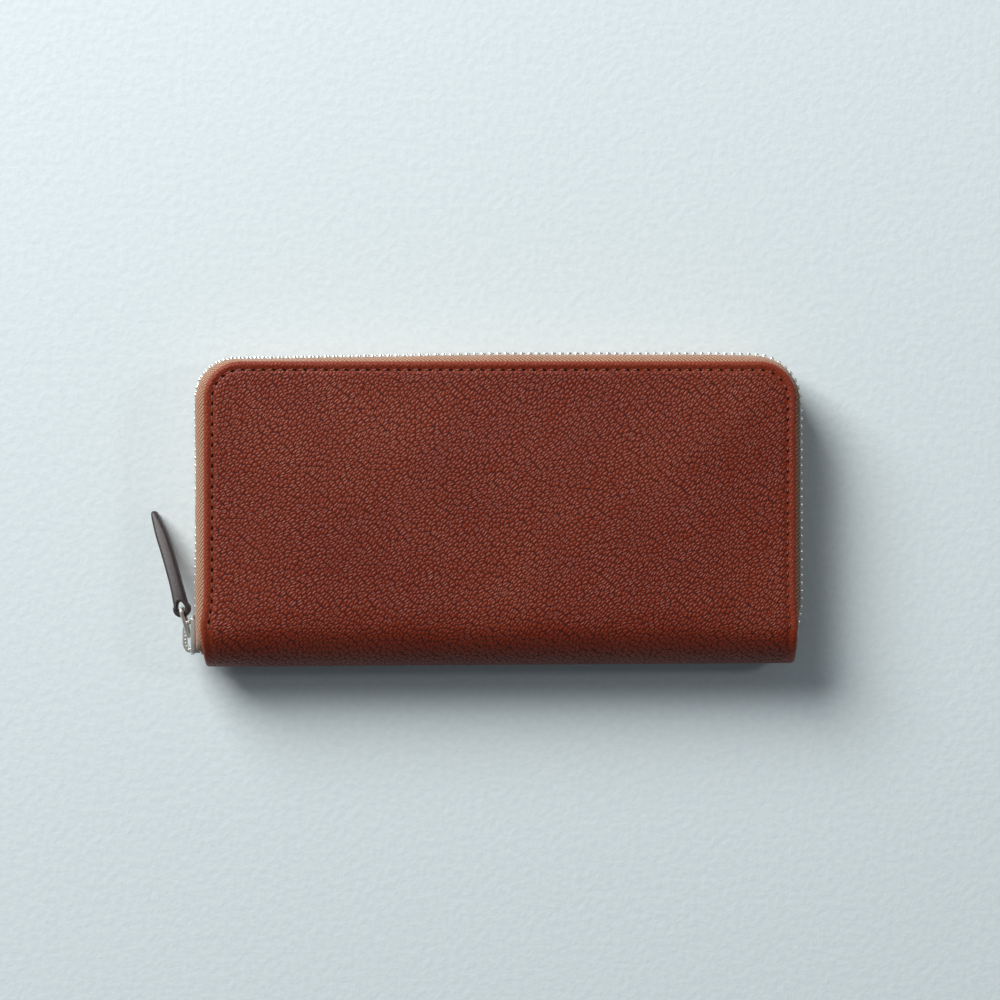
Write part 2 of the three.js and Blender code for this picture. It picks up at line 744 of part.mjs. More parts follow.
add(middle, "spine_leather", rollShell(half, leatherIn, right - 0.8), leatherBrown);
add(middle, "spine_lining", rollShell(liningOut, liningIn, right - LINING_INSET), liningCloth);
add(middle, "gusset_left", gusset(-1), slotLeather);
add(middle, "gusset_right", gusset(1), slotLeather);

const slider = new THREE.Group(); // x is outwards from the tooth line
slider.position.set(zipLeft, sliderY, 0);
slider.rotation.y = Math.PI;
middle.add(slider);
add(slider, "slider_body", sliderBody(), nickel);
add(slider, "slider_bridge", sliderBridge(), nickel);

const linkLean = THREE.MathUtils.degToRad(LINK_ANGLE);
const link = add(middle, "pull_link", pullLink(), nickel);
link.position.set(zipLeft - linkBar, sliderY + barY, 0);
link.rotation.z = linkLean;

const pull = add(middle, "leather_pull", leatherPull(), pullLeather);
pull.position.set(
  link.position.x - LINK_LENGTH * Math.sin(linkLean),
  link.position.y + LINK_LENGTH * Math.cos(linkLean),
  0,
);
pull.rotation.z = THREE.MathUtils.degToRad(PULL_ANGLE);

for (const [piece, geometry, look] of coinPocketPieces()) add(middle, piece, geometry, look);
const coinSliderX = -coinZipEnd + 1 + COIN_SLIDER_LENGTH / 2;
add(middle, "coin_zip_slider", coinSlider(), nickel).position.x = coinSliderX;
add(middle, "coin_zip_pull", coinPull(), nickel).position.set(coinSliderX, coinBarY, 0);

export default wallet;
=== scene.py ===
# %% [markdown]
# # A zip-around wallet
#
# A long wallet lies closed on its back cover. Its outside is one piece of pebbled leather that rolls
# round the spine, and a zip with metal teeth runs round the other three sides. Inside are card slots,
# two bill compartments with folded gussets, and a coin pocket with a zip of its own.
#
# The moving skeleton already exists: it is loaded as a frame, and most pieces made here ride on one of
# its bodies. Lengths are in millimetres until a mesh is made, because leatherwork is measured so.

import json
import math

import bmesh
import bpy
import numpy as np
from mathutils import Matrix, Vector


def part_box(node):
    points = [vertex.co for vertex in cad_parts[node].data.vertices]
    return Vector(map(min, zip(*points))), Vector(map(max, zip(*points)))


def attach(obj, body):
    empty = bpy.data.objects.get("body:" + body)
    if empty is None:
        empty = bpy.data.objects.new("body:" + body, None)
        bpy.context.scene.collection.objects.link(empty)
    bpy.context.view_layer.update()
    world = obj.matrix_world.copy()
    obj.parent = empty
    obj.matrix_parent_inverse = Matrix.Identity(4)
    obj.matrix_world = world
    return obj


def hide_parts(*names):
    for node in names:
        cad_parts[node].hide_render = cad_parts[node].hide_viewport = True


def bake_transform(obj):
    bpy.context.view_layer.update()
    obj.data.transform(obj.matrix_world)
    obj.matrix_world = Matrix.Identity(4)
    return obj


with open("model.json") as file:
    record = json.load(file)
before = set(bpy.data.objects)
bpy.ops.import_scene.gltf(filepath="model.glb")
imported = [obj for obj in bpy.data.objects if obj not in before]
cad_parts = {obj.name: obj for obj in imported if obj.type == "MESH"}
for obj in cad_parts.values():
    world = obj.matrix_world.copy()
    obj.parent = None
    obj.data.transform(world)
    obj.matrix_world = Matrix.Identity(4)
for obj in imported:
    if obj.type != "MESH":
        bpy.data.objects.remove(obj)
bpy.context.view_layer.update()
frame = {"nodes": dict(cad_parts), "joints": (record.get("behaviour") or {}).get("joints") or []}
METRE = 0.001  # one millimetre, in metres

# %% [markdown]
# ## Sizes that the frame gives
#
# Every place is worked out from the frame's own pieces, so a changed frame moves the looks with it.
# The covers turn about the centre line of the rolled spine. A distance from the middle plane, where
# the two halves meet, is called a height and serves both halves: the front one adds it to the
# middle's Z and the back one takes it away.


# %% Measure the frame
def box_mm(node):
    """A frame node's lowest and highest corners, in millimetres."""
    low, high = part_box(node)
    return np.array(low) / METRE, np.array(high) / METRE


cover_low, cover_high = box_mm("front_leather")
spine_low, spine_high = box_mm("spine_leather")
teeth_low, teeth_high = box_mm("zip_teeth_back")

HALF_WIDTH = cover_high[0]
TOP_Y = cover_high[1]
THICKNESS = spine_high[2] - spine_low[2]
MID_Z = THICKNESS / 2
ROLL_RADIUS = THICKNESS / 2
ROLL_Y = spine_low[1] + ROLL_RADIUS
LEATHER = cover_high[2] - cover_low[2]
CORNER = 12.0  # corner radius of a cover
SEAM_INSET = 2.8  # the stitched line, inside the cover's edge

TOOTH_HALF_THICK = 0.85
ZIP_LEFT = teeth_low[0] + TOOTH_HALF_THICK
ZIP_RIGHT = teeth_high[0] - TOOTH_HALF_THICK
ZIP_TOP = teeth_high[1] - TOOTH_HALF_THICK
ZIP_CORNER = 14.5
FRONT, BACK = 1, -1

print("cover", 2 * HALF_WIDTH, "x", TOP_Y - spine_low[1], "x", THICKNESS, "mm")

# %% [markdown]
# ## The camera
#
# A small object on a table is usually taken from straight above with a long lens, so that its sides
# don't lean outwards. The camera stands 1.1 m above the front cover, looks straight down, and is set
# a little above the wallet's middle.

# %% Place the camera
CAMERA_HEIGHT = 1100.0
VIEW_WIDTH = 323.6  # the width that the picture shows at the front cover
VIEW_CENTRE_Y = 4.05

lens = bpy.data.cameras.new("camera")
lens.sensor_width = 36
lens.lens = lens.sensor_width * CAMERA_HEIGHT / VIEW_WIDTH
lens.clip_start = 0.05
lens.clip_end = 20
camera = bpy.data.objects.new("camera", lens)
camera.location = Vector((0, VIEW_CENTRE_Y, THICKNESS + CAMERA_HEIGHT)) * METRE
bpy.context.scene.collection.objects.link(camera)
bpy.context.scene.camera = camera
bpy.context.scene.view_settings.view_transform = "Standard"
print("focal length", round(lens.lens, 1), "mm")

# %% [markdown]
# ## Helpers for materials
#
# A material is a small graph. One helper adds a node, sets its properties and fills its inputs with
# values or with the outputs of other nodes, so that each finish below reads from top to bottom.


# %% Helpers for node graphs
def node(tree, kind, values=None, **settings):
    """Add a node, set its properties, and fill its inputs with numbers or with other sockets."""
    new = tree.nodes.new(kind)
    for key, value in settings.items():
        setattr(new, key, value)
    for key, value in (values or {}).items():
        if isinstance(value, bpy.types.NodeSocket):
            tree.links.new(value, new.inputs[key])
        else:
            new.inputs[key].default_value = value
    return new


def maths(tree, operation, a, b=0.0):
    return node(tree, "ShaderNodeMath", {0: a, 1: b}, operation=operation).outputs[0]


def weighted(tree, *terms):
    """The sum of some values, each given with its weight."""
    shares = [maths(tree, "MULTIPLY", value, weight) for value, weight in terms]
    total = shares[0]
    for share in shares[1:]:
        total = maths(tree, "ADD", total, share)
    return total


def colour_mix(tree, factor, a, b):
    """Blend two colours, each a tuple or a socket."""
    new = node(tree, "ShaderNodeMix", {"Factor": factor}, data_type="RGBA")
    for socket, value in ((new.inputs[6], a), (new.inputs[7], b)):
        if isinstance(value, bpy.types.NodeSocket):
            tree.links.new(value, socket)
        else:
            socket.default_value = value
    return new.outputs[2]


def ramp(tree, factor, low, high):
    """0 below low and 1 above high, smooth between."""
    values = {"Value": factor, "From Min": low, "From Max": high}
    return node(tree, "ShaderNodeMapRange", values, interpolation_type="SMOOTHSTEP").outputs[0]


def srgb(red, green, blue):
    """A colour on the usual 0 to 255 scale, as the linear light that a shader needs."""
    shares = [c / 255 for c in (red, green, blue)]
    return (*(c / 12.92 if c <= 0.04045 else ((c + 0.055) / 1.055) ** 2.4 for c in shares), 1.0)


def new_finish(name):
    """An empty material with its node tree and its Principled shader."""
    made = bpy.data.materials.new(name)
    made.use_nodes = True
    tree = made.node_tree
    return made, tree, tree.nodes["Principled BSDF"]


def finish_with(tree, shader, colour=None, roughness=None, height=None, depth=0.1, strength=1.0):
    """Join the colour, roughness and height of a finish to its shader. Depth is in millimetres."""
    if colour is not None:
        tree.links.new(colour, shader.inputs["Base Color"])
    if roughness is not None:
        tree.links.new(roughness, shader.inputs["Roughness"])
    if height is not None:
        values = {"Height": height, "Distance": depth * METRE, "Strength": strength}
        bump = node(tree, "ShaderNodeBump", values)
        tree.links.new(bump.outputs[0], shader.inputs["Normal"])


# %% [markdown]
# ## Pebbled leather
#
# Milled leather has a grain of small pillows with narrow valleys between them, stretched a little
# along one diagonal. A picture of leather would be one way; here a Voronoi pattern gives the pillows
# at their real size, so the finish has no repeat and no image. The pattern is read from the leather's
# own flat map, which runs round the spine without a break. The valleys are painted darker as shade,
# and wear lightens broad patches of the leather.


# %% Pebbled leather
GRAIN = 0.98  # mm across one pillow


def grain_pattern(tree, flat, cell, turn=-0.84, stretch=1.8):
    """Height of the grain, 0 in the valleys and 1 on the pillows, from a flat map in metres. A
    Texture mapping turns before it scales, so the pillows are long in the turned direction."""
    bent = flat
    for scale, reach in ((60.0, 0.0042), (700.0, 0.00045)):
        drift = node(tree, "ShaderNodeTexNoise", {"Vector": flat, "Scale": scale, "Detail": 2.0})
        values = {0: drift.outputs["Color"], "Scale": reach}
        push = node(tree, "ShaderNodeVectorMath", values, operation="SCALE").outputs[0]
        bent = node(tree, "ShaderNodeVectorMath", {0: bent, 1: push}, operation="ADD").outputs[0]
    values = {"Vector": bent, "Rotation": (0, 0, turn), "Scale": (stretch, 1.0, 1.0)}
    turned = node(tree, "ShaderNodeMapping", values, vector_type="TEXTURE")
    values = {"Vector": turned.outputs[0], "Scale": 1000 / cell, "Randomness": 0.8}
    edge = node(tree, "ShaderNodeTexVoronoi", values, feature="DISTANCE_TO_EDGE", voronoi_dimensions="2D")
    centre = node(tree, "ShaderNodeTexVoronoi", values, feature="F1", voronoi_dimensions="2D")
    crown = maths(tree, "SUBTRACT", 1.0, ramp(tree, centre.outputs["Distance"], 0.0, 0.95))
    flank = ramp(tree, edge.outputs["Distance"], 0.0, 0.4)
    return weighted(tree, (crown, 0.4), (flank, 0.6))


def pebbled_leather(name, base, valley_shade, worn, edge_band):
    made, tree, shader = new_finish(name)
    flat = node(tree, "ShaderNodeUVMap", uv_map="flat").outputs[0]
    coarse = grain_pattern(tree, flat, GRAIN)
    fine = grain_pattern(tree, flat, GRAIN * 0.5, turn=-0.3, stretch=1.25)
    pores = node(tree, "ShaderNodeTexNoise", {"Vector": flat, "Scale": 2600.0, "Detail": 3.0})
    broad = node(tree, "ShaderNodeTexNoise", {"Vector": flat, "Scale": 22.0, "Detail": 3.0})
    edge = node(tree, "ShaderNodeAttribute", attribute_name="edge_mm").outputs["Fac"]

    body = colour_mix(tree, ramp(tree, broad.outputs["Fac"], 0.35, 0.68), base, worn)
    open_grain = maths(tree, "ADD", 0.5, maths(tree, "MULTIPLY", ramp(tree, edge, 2.9, 4.4), 0.5))
    # Painted shade: the grain's valleys are mixed towards the darker valley colour, half as much near the
    # cut edge.
    hollow = maths(tree, "SUBTRACT", 1.0, ramp(tree, coarse, 0.1, 0.5))
    body = colour_mix(tree, maths(tree, "MULTIPLY", hollow, open_grain), body, valley_shade)
    # Within 1.6 mm of the cut edge the colour is mixed part way towards a lighter tone.
    rim = maths(tree, "SUBTRACT", 1.0, ramp(tree, edge, 0.2, 1.6))
    body = colour_mix(tree, maths(tree, "MULTIPLY", rim, 0.55), body, edge_band)

    grain = maths(tree, "MULTIPLY", weighted(tree, (coarse, 0.78), (fine, 0.16)), open_grain)
    height = weighted(tree, (grain, 1.0), (pores.outputs["Fac"], 0.06))
    gloss = maths(tree, "ADD", 0.32, weighted(tree, (pores.outputs["Fac"], 0.12), (hollow, 0.3)))
    finish_with(tree, shader, body, gloss, height, depth=0.25)
    shader.inputs["Specular IOR Level"].default_value = 0.27
    return made


outer_leather = pebbled_leather(
    "pebbled_leather",
    base=srgb(121, 38, 12),
    valley_shade=srgb(68, 12, 4),
    worn=srgb(130, 48, 22),
    edge_band=srgb(142, 58, 36),
)
print("grain of", GRAIN, "mm")

# %% [markdown]
# ## The other finishes
#
# The inner leather is smooth with fine pores. The pull is darker leather whose cut edges carry a
# coat of dark edge paint. Lining cloth and zip tape are woven: the cloth plain, the tape in the slanting
# ribs of a twill. Weaves are made of waves, one for each direction of the threads. The zip's metal
# is nickel plate with faint brushing and rubbed spots.


# %% Smooth leather, board and thread
def smooth_leather(name, base, dark, coarse=1.1):
    made, tree, shader = new_finish(name)
    spot = node(tree, "ShaderNodeTexCoord").outputs["Object"]
    values = {"Vector": spot, "Scale": 1000 / coarse, "Randomness": 1.0}
    pores = node(tree, "ShaderNodeTexVoronoi", values, feature="DISTANCE_TO_EDGE")
    skin = ramp(tree, pores.outputs["Distance"], 0.0, 0.25)
    broad = node(tree, "ShaderNodeTexNoise", {"Vector": spot, "Scale": 45.0, "Detail": 4.0})
    colour = colour_mix(tree, ramp(tree, broad.outputs["Fac"], 0.3, 0.7), dark, base)
    pore = maths(tree, "SUBTRACT", 1.0, skin)
    colour = colour_mix(tree, maths(tree, "MULTIPLY", pore, 0.5), colour, dark)
    gloss = maths(tree, "ADD", 0.4, maths(tree, "MULTIPLY", broad.outputs["Fac"], 0.2))
    finish_with(tree, shader, colour, gloss, skin, depth=0.035)
    return made


def fibre_finish(name, base, dark, scale, roughness=0.9):
    """Compressed board, or a surface of loose fibres."""
    made, tree, shader = new_finish(name)
    spot = node(tree, "ShaderNodeTexCoord").outputs["Object"]
    values = {"Vector": spot, "Scale": scale, "Detail": 5.0, "Distortion": 1.5}
    fibres = node(tree, "ShaderNodeTexNoise", values)
    colour = colour_mix(tree, ramp(tree, fibres.outputs["Fac"], 0.3, 0.7), dark, base)
    finish_with(tree, shader, colour, None, fibres.outputs["Fac"], depth=0.05)
    shader.inputs["Roughness"].default_value = roughness
    return made


def twisted_thread(name, base, dark):
    """Waxed sewing thread: its strands show as slanting bands along it."""
    made, tree, shader = new_finish(name)
    spot = node(tree, "ShaderNodeTexCoord").outputs["Object"]
    turned = node(tree, "ShaderNodeMapping", {"Vector": spot, "Rotation": (0.5, 0.4, 0.8)})
    values = {"Vector": turned.outputs[0], "Scale": 700.0, "Distortion": 0.8}
    strands = node(tree, "ShaderNodeTexWave", values)
    colour = colour_mix(tree, strands.outputs["Fac"], dark, base)
    finish_with(tree, shader, colour, None, strands.outputs["Fac"], depth=0.05)
    shader.inputs["Roughness"].default_value = 0.6
    return made


inner_leather = smooth_leather("inner_leather", srgb(120, 58, 40), srgb(88, 38, 25))
pull_leather = smooth_leather("pull_leather", srgb(62, 53, 55), srgb(42, 35, 37), coarse=0.8)
edge_paint = fibre_finish("edge_paint", srgb(64, 55, 57), srgb(45, 38, 40), scale=900.0, roughness=0.4)
board_finish = fibre_finish("bonded_board", srgb(150, 140, 122), srgb(118, 106, 90), scale=400.0)
thread_finish = twisted_thread("waxed_thread", srgb(142, 80, 64), srgb(92, 44, 33))
# Painted shade: the needle holes get this near-black finish in place of the shade inside each hole.
hole_shade_finish = fibre_finish("needle_hole", srgb(40, 11, 6), srgb(22, 6, 4), scale=900.0)
hole_shade_finish.node_tree.nodes["Principled BSDF"].inputs["Specular IOR Level"].default_value = 0.1


# %% Woven cloth and nickel
def woven(name, base, dark, thread, twill):
    """A weave on the piece's own flat map. A twill's ribs slant; a plain weave's threads cross."""
    made, tree, shader = new_finish(name)
    flat = node(tree, "ShaderNodeUVMap", uv_map="flat").outputs[0]
    angles = (0.95, -0.5) if twill else (0.0, math.pi / 2)
    bands = []
    for angle, share in zip(angles, (1.0, 0.45 if twill else 1.0)):
        turned = node(tree, "ShaderNodeMapping", {"Vector": flat, "Rotation": (0, 0, angle)})
        values = {"Vector": turned.outputs[0], "Scale": 314.0 / thread, "Distortion": 0.5, "Detail": 1.0}
        wave = node(tree, "ShaderNodeTexWave", values)
        bands.append(maths(tree, "MULTIPLY", wave.outputs["Fac"], share))
    weave = weighted(tree, (bands[0], 0.6), (bands[1], 0.6))
    fuzz = node(tree, "ShaderNodeTexNoise", {"Vector": flat, "Scale": 1100.0, "Detail": 3.0})
    broad = node(tree, "ShaderNodeTexNoise", {"Vector": flat, "Scale": 30.0, "Detail": 2.0})
    tone = weighted(tree, (weave, 0.75), (fuzz.outputs["Fac"], 0.35))
    colour = colour_mix(tree, ramp(tree, tone, 0.15, 0.85), dark, base)
    colour = colour_mix(tree, maths(tree, "MULTIPLY", broad.outputs["Fac"], 0.35), colour, dark)
    finish_with(tree, shader, colour, None, tone, depth=0.2)
    shader.inputs["Roughness"].default_value = 0.85
    shader.inputs["Sheen Weight"].default_value = 0.25
    return made


def nickel_plate(name, base, roughness):
    made, tree, shader = new_finish(name)
    spot = node(tree, "ShaderNodeTexCoord").outputs["Object"]
    rub = node(tree, "ShaderNodeTexNoise", {"Vector": spot, "Scale": 260.0, "Detail": 4.0})
    lines = node(tree, "ShaderNodeMapping", {"Vector": spot, "Scale": (1.0, 0.06, 1.0)})
    values = {"Vector": lines.outputs[0], "Scale": 3200.0, "Detail": 2.0}
    brushing = node(tree, "ShaderNodeTexNoise", values)
    dull = (*(0.72 * c for c in base[:3]), 1.0)
    colour = colour_mix(tree, ramp(tree, rub.outputs["Fac"], 0.4, 0.75), base, dull)
    gloss = maths(tree, "ADD", roughness, maths(tree, "MULTIPLY", rub.outputs["Fac"], 0.16))
    finish_with(tree, shader, colour, gloss, brushing.outputs["Fac"], depth=0.008)
    shader.inputs["Metallic"].default_value = 0.8
    return made


zip_tape = woven("twill_tape", srgb(212, 162, 128), srgb(86, 50, 34), thread=0.8, twill=True)
lining_cloth = woven("lining_cloth", srgb(164, 128, 100), srgb(112, 82, 60), thread=0.5, twill=False)
nickel = nickel_plate("nickel_plate", srgb(232, 230, 224), 0.22)
print(len(bpy.data.materials), "finishes")

# %% [markdown]
# ## Helpers for sheets
#
# Leather, tape and lining are sheets: wide, thin, and with two faces. Each is described by a grid of
# points for its outer face and a matching grid for its inner face. One helper closes the two grids
# into a solid with a wall round its edge, and keeps the flat map that the woven and grained finishes read.


# %% Helpers for sheets
def put_in_scene(name, mesh, material, body=None, replaces=()):
    """Make an object of a finished mesh, give it its finish, and tell the frame what it stands for."""
    made = bpy.data.objects.new(name, mesh)
    bpy.context.scene.collection.objects.link(made)
    if material is not None:
        mesh.materials.clear()
        mesh.materials.append(material)
    if body:
        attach(made, body)
    if replaces:
        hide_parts(*replaces)
    return made


def finished_mesh(name, edit, outwards=True):
    """A smooth-shaded mesh from a bmesh, which is let go."""
    if outwards:
        bmesh.ops.recalc_face_normals(edit, faces=edit.faces)
    mesh = bpy.data.meshes.new(name)
    edit.to_mesh(mesh)
    edit.free()
    mesh.shade_smooth()
    return mesh


def skin_loops(edit, loops, closed=False):
    """Faces between one ring of points and the next, and over both ends unless the row closes."""
    for one, two in zip(loops, loops[1:] + loops[:1] if closed else loops[1:]):
        for j in range(len(one)):
            after = (j + 1) % len(one)
            edit.faces.new((one[j], one[after], two[after], two[j]))
    if not closed:
        edit.faces.new(loops[0][::-1])
        edit.faces.new(loops[-1])


def face_outwards(mesh):
    edit = bmesh.new()
    edit.from_mesh(mesh)
    bmesh.ops.remove_doubles(edit, verts=edit.verts, dist=1e-7)
    bmesh.ops.recalc_face_normals(edit, faces=edit.faces)
    edit.to_mesh(mesh)
    edit.free()


def sheet_mesh(name, outer, inner, flat, edge=None):
    """A closed sheet from two grids of points (rows, columns, 3) in mm. Flat is each point's place on
    the cut sheet, and edge its distance from the cut edge, both in mm."""
    rows, columns = outer.shape[:2]
    count = rows * columns
    points = np.concatenate([outer.reshape(-1, 3), inner.reshape(-1, 3)]) * METRE
    at = np.arange(count).reshape(rows, columns)
    quads = np.stack([at[:-1, :-1], at[:-1, 1:], at[1:, 1:], at[1:, :-1]], axis=-1).reshape(-1, 4)
    faces = [quads, quads[:, ::-1] + count]
    for rim in (at[:, 0], at[:, -1], at[0], at[-1]):
        line, after = rim[:-1], rim[1:]
        faces.append(np.stack([line, after, after + count, line + count], axis=-1))
    faces = np.concatenate(faces)
    mesh = bpy.data.meshes.new(name)
    mesh.from_pydata(points.tolist(), [], faces.tolist())
    if edge is not None:
        attribute = mesh.attributes.new("edge_mm", "FLOAT", "POINT")
        attribute.data.foreach_set("value", np.concatenate([edge.ravel(), edge.ravel()]).astype(np.float32))
    spread = np.concatenate([flat.reshape(-1, 2), flat.reshape(-1, 2)]) * METRE
    corners = np.empty(len(mesh.loops), np.int32)
    mesh.loops.foreach_get("vertex_index", corners)
    layer = mesh.uv_layers.new(name="flat")
    layer.data.foreach_set("uv", spread[corners].astype(np.float32).ravel())
    face_outwards(mesh)
    mesh.shade_smooth()
    return mesh


def hollow_steps(length, border, spacing):
    """Places along a length: close together near both ends, and evenly spaced between."""
    border = np.array(border)
    steps = max(int((length - 2 * border[-1]) / spacing), 2)
    middle = np.linspace(border[-1], length - border[-1], steps + 1)
    return np.concatenate([border[:-1], middle, length - border[:-1][::-1]])


def smooth(t):
    t = np.clip(t, 0, 1)
    return t * t * (3 - 2 * t)


# %% [markdown]
# ## The outer leather
#
# On the real wallet one piece of leather covers the front, the spine and the back. Its edges are
# turned in, so they are round, and the seam pulls a shallow channel 2.8 mm inside them. The front is
# slightly padded. A plane with modifiers could do the flat part, but not the roll. So the flat cut is
# laid out as a grid, and each point is carried to its place: along the front, round the spine, and
# along the back, with its height worked out from its distance to the cut edge.

# %% Lay out the leather
FLAT = TOP_Y - ROLL_Y  # flat length of a cover
ARC = math.pi * ROLL_RADIUS
CUT_LENGTH = 2 * FLAT + ARC
SPINE_INSET = -0.2  # the filled roll is a little wider than the covers
EDGE_ROUND = 1.2  # radius of the turned-in edge
SEAM_DIP = 0.34
PADDING = 1.1  # how far the front swells at its middle
BELLY = 1.5  # how far the filled roll sags out, most at its left end
BORDER_STEPS = (0, 0.1, 0.28, 0.55, 0.9, 1.3, 1.7, 2.1, 2.45, 2.8, 3.15, 3.5, 4.0, 4.7, 5.6)


def roll_share(along):
    """0 on a cover and 1 at the outermost line of the roll."""
    return np.sin(np.clip((along - FLAT) / ARC, 0, 1) * math.pi) ** 2


def edge_distance(across, along):
    """Distance from the cut edge, with the four corners rounded."""
    side = HALF_WIDTH - SPINE_INSET * roll_share(along) - np.abs(across)
    end = np.minimum(along, CUT_LENGTH - along)
    near = CORNER - np.hypot(np.maximum(CORNER - side, 0), np.maximum(CORNER - end, 0))
    return np.where((side < CORNER) & (end < CORNER), near, np.minimum(side, end))


def flared(across, y, angle=0.0):
    """The covers' lower corners flare out where the roll starts, more on the left, over the slider."""
    swell = np.exp(-(((y + 39) / 7) ** 2)) * np.clip(1 - angle / 1.2, 0, 1)
    return across + swell * (0.7 * smooth((across - 84) / 10) - 1.35 * smooth((-across - 84) / 10))


def carry_round(across, along, height):
    """A point of the cut, at a height above the leather's outer face, carried round the wallet."""
    angle = np.clip((along - FLAT) / ROLL_RADIUS, 0, math.pi)
    on_back = np.maximum(along - FLAT - ARC, 0)
    straight = ROLL_Y + np.maximum(FLAT - along, 0) + on_back
    across = flared(across, straight, angle)
    reach = ROLL_RADIUS + height
    belly = BELLY * (0.6 - 0.4 * across / HALF_WIDTH) * np.sin(angle) ** 2
    y = straight - reach * np.sin(angle) - belly
    return np.stack([across, y, MID_Z + reach * np.cos(angle)], axis=-1)


def leather_height(distance, along):
    """The outer face's height: round at the edge, dipped at the seam, padded on the front."""
    inside = np.clip(EDGE_ROUND - distance, 0, EDGE_ROUND)
    height = np.sqrt(EDGE_ROUND**2 - inside**2) - EDGE_ROUND
    height = height - SEAM_DIP * np.exp(-(((distance - SEAM_INSET) / 0.8) ** 2)) * (1 - roll_share(along))
    on_front = 1 - smooth((along - FLAT + 6) / 14)
    return height + PADDING * smooth((distance - SEAM_INSET) / 32) * on_front


# %% Make the leather
along = hollow_steps(CUT_LENGTH, BORDER_STEPS + (6.6, 7.6, 8.7, 9.9, 11.0, 12.2), 1.25)
widths = HALF_WIDTH - SPINE_INSET * roll_share(along)
ends = CORNER - np.minimum(np.minimum(along, CUT_LENGTH - along), CORNER)
widths = widths - CORNER + np.sqrt(CORNER**2 - ends**2)
share = hollow_steps(2 * HALF_WIDTH, BORDER_STEPS, 1.25)
border = len(BORDER_STEPS) - 1
across = np.empty((len(along), len(share)))
for row, width in enumerate(widths):
    across[row, :border] = share[:border] - width
    across[row, -border:] = width - (2 * HALF_WIDTH - share[-border:])
    reach = width - BORDER_STEPS[-1]
    across[row, border:-border] = np.linspace(-reach, reach, len(share) - 2 * border)
lengths = np.repeat(along[:, None], across.shape[1], axis=1)
distance = np.maximum(edge_distance(across, lengths), 0)
outside = carry_round(across, lengths, leather_height(distance, lengths))
inside = carry_round(across, lengths, np.full_like(distance, -LEATHER))
flat = np.stack([across, lengths], axis=-1)
mesh = sheet_mesh("outer_leather", outside, inside, flat, distance)
leather = put_in_scene("outer_leather", mesh, outer_leather)
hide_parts("front_leather", "back_leather", "spine_leather")
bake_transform(leather)
print("outer leather:", len(mesh.polygons), "faces")

# %% [markdown]
# ## Repeating a piece along a line
#
# Stitches and zip teeth repeat by the hundred. Geometry Nodes places them: a line is turned into a
# curve, the curve into evenly spaced points, and each point gets a copy that is turned to follow the
# line. A small random turn, with a fixed seed, keeps a row of stitches from looking ruled. The copies are
# then made real, because a plain mesh is what the frame and an export need.


# %% A tree that repeats a piece along a line
def repeat_tree():
    tree = bpy.data.node_groups.new("repeat_along_line", "GeometryNodeTree")
    inputs = {"Line": "Geometry", "Spacing": "Float", "Piece": "Object"}
    inputs |= {"Unevenness": "Float", "Seed": "Int", "Finish": "Material"}
    for name, kind in inputs.items():
        tree.interface.new_socket(name, in_out="INPUT", socket_type="NodeSocket" + kind)
    tree.interface.new_socket("Pieces", in_out="OUTPUT", socket_type="NodeSocketGeometry")
    given = node(tree, "NodeGroupInput").outputs

    # points along the line, each turned to follow it
    curve = node(tree, "GeometryNodeMeshToCurve", {"Mesh": given["Line"]})
    values = {"Curve": curve.outputs[0], "Length": given["Spacing"]}
    points = node(tree, "GeometryNodeCurveToPoints", values, mode="LENGTH")
    values = {"Vector": points.outputs["Tangent"]}
    follow = node(tree, "FunctionNodeAlignRotationToVector", values, axis="X", pivot_axis="Z")

    # a small random turn about the piece's own Z; inputs 2 and 3 are the range of a Float
    least = maths(tree, "MULTIPLY", given["Unevenness"], -1.0)
    values = {2: least, 3: given["Unevenness"], "Seed": given["Seed"]}
    chance = node(tree, "FunctionNodeRandomValue", values, data_type="FLOAT")
    turn = node(tree, "ShaderNodeCombineXYZ", {"Z": chance.outputs[1]})
    values = {"Rotation": follow.outputs[0], "Rotate By": turn.outputs[0]}
    turned = node(tree, "FunctionNodeRotateRotation", values, rotation_space="LOCAL")

    # a real copy of the piece at each point, with its finish
    piece = node(tree, "GeometryNodeObjectInfo", {"Object": given["Piece"]})
    values = {"Points": points.outputs["Points"], "Instance": piece.outputs["Geometry"]}
    values["Rotation"] = turned.outputs[0]
    copies = node(tree, "GeometryNodeInstanceOnPoints", values)
    real = node(tree, "GeometryNodeRealizeInstances", {"Geometry": copies.outputs[0]})
    values = {"Geometry": real.outputs[0], "Material": given["Finish"]}
    done = node(tree, "GeometryNodeSetMaterial", values)
    node(tree, "NodeGroupOutput", {"Pieces": done.outputs[0]})
    return tree


REPEAT = repeat_tree()


def mesh_of(thing):
    """The finished mesh of an object with its modifiers."""
    graph = bpy.context.evaluated_depsgraph_get()
    return bpy.data.meshes.new_from_object(thing.evaluated_get(graph))


def repeat_along(name, lines, piece, spacing, material, unevenness=0.0, seed=1):
    """Copies of a small mesh along one or more lines of points, in mm, as one plain mesh."""
    points, edges = [], []
    for line in lines:
        edges += [(len(points) + k, len(points) + k + 1) for k in range(len(line) - 1)]
        points += [tuple(np.array(p) * METRE) for p in line]
    path = bpy.data.meshes.new(name + "_line")
    path.from_pydata(points, edges, [])
    carrier = bpy.data.objects.new(name + "_line", path)
    bpy.context.scene.collection.objects.link(carrier)
    sample = bpy.data.objects.new(name + "_sample", piece)
    modifier = carrier.modifiers.new("repeat", "NODES")
    modifier.node_group = REPEAT
    values = {"Spacing": spacing * METRE, "Piece": sample, "Finish": material}
    values |= {"Unevenness": unevenness, "Seed": seed}
    for socket in REPEAT.interface.items_tree:
        if socket.in_out == "INPUT" and socket.name in values:
            modifier[socket.identifier] = values[socket.name]
    mesh = mesh_of(carrier)
    mesh.name = name
    carrier.modifiers.remove(modifier)
    bpy.data.objects.remove(carrier)
    bpy.data.objects.remove(sample)
    return mesh
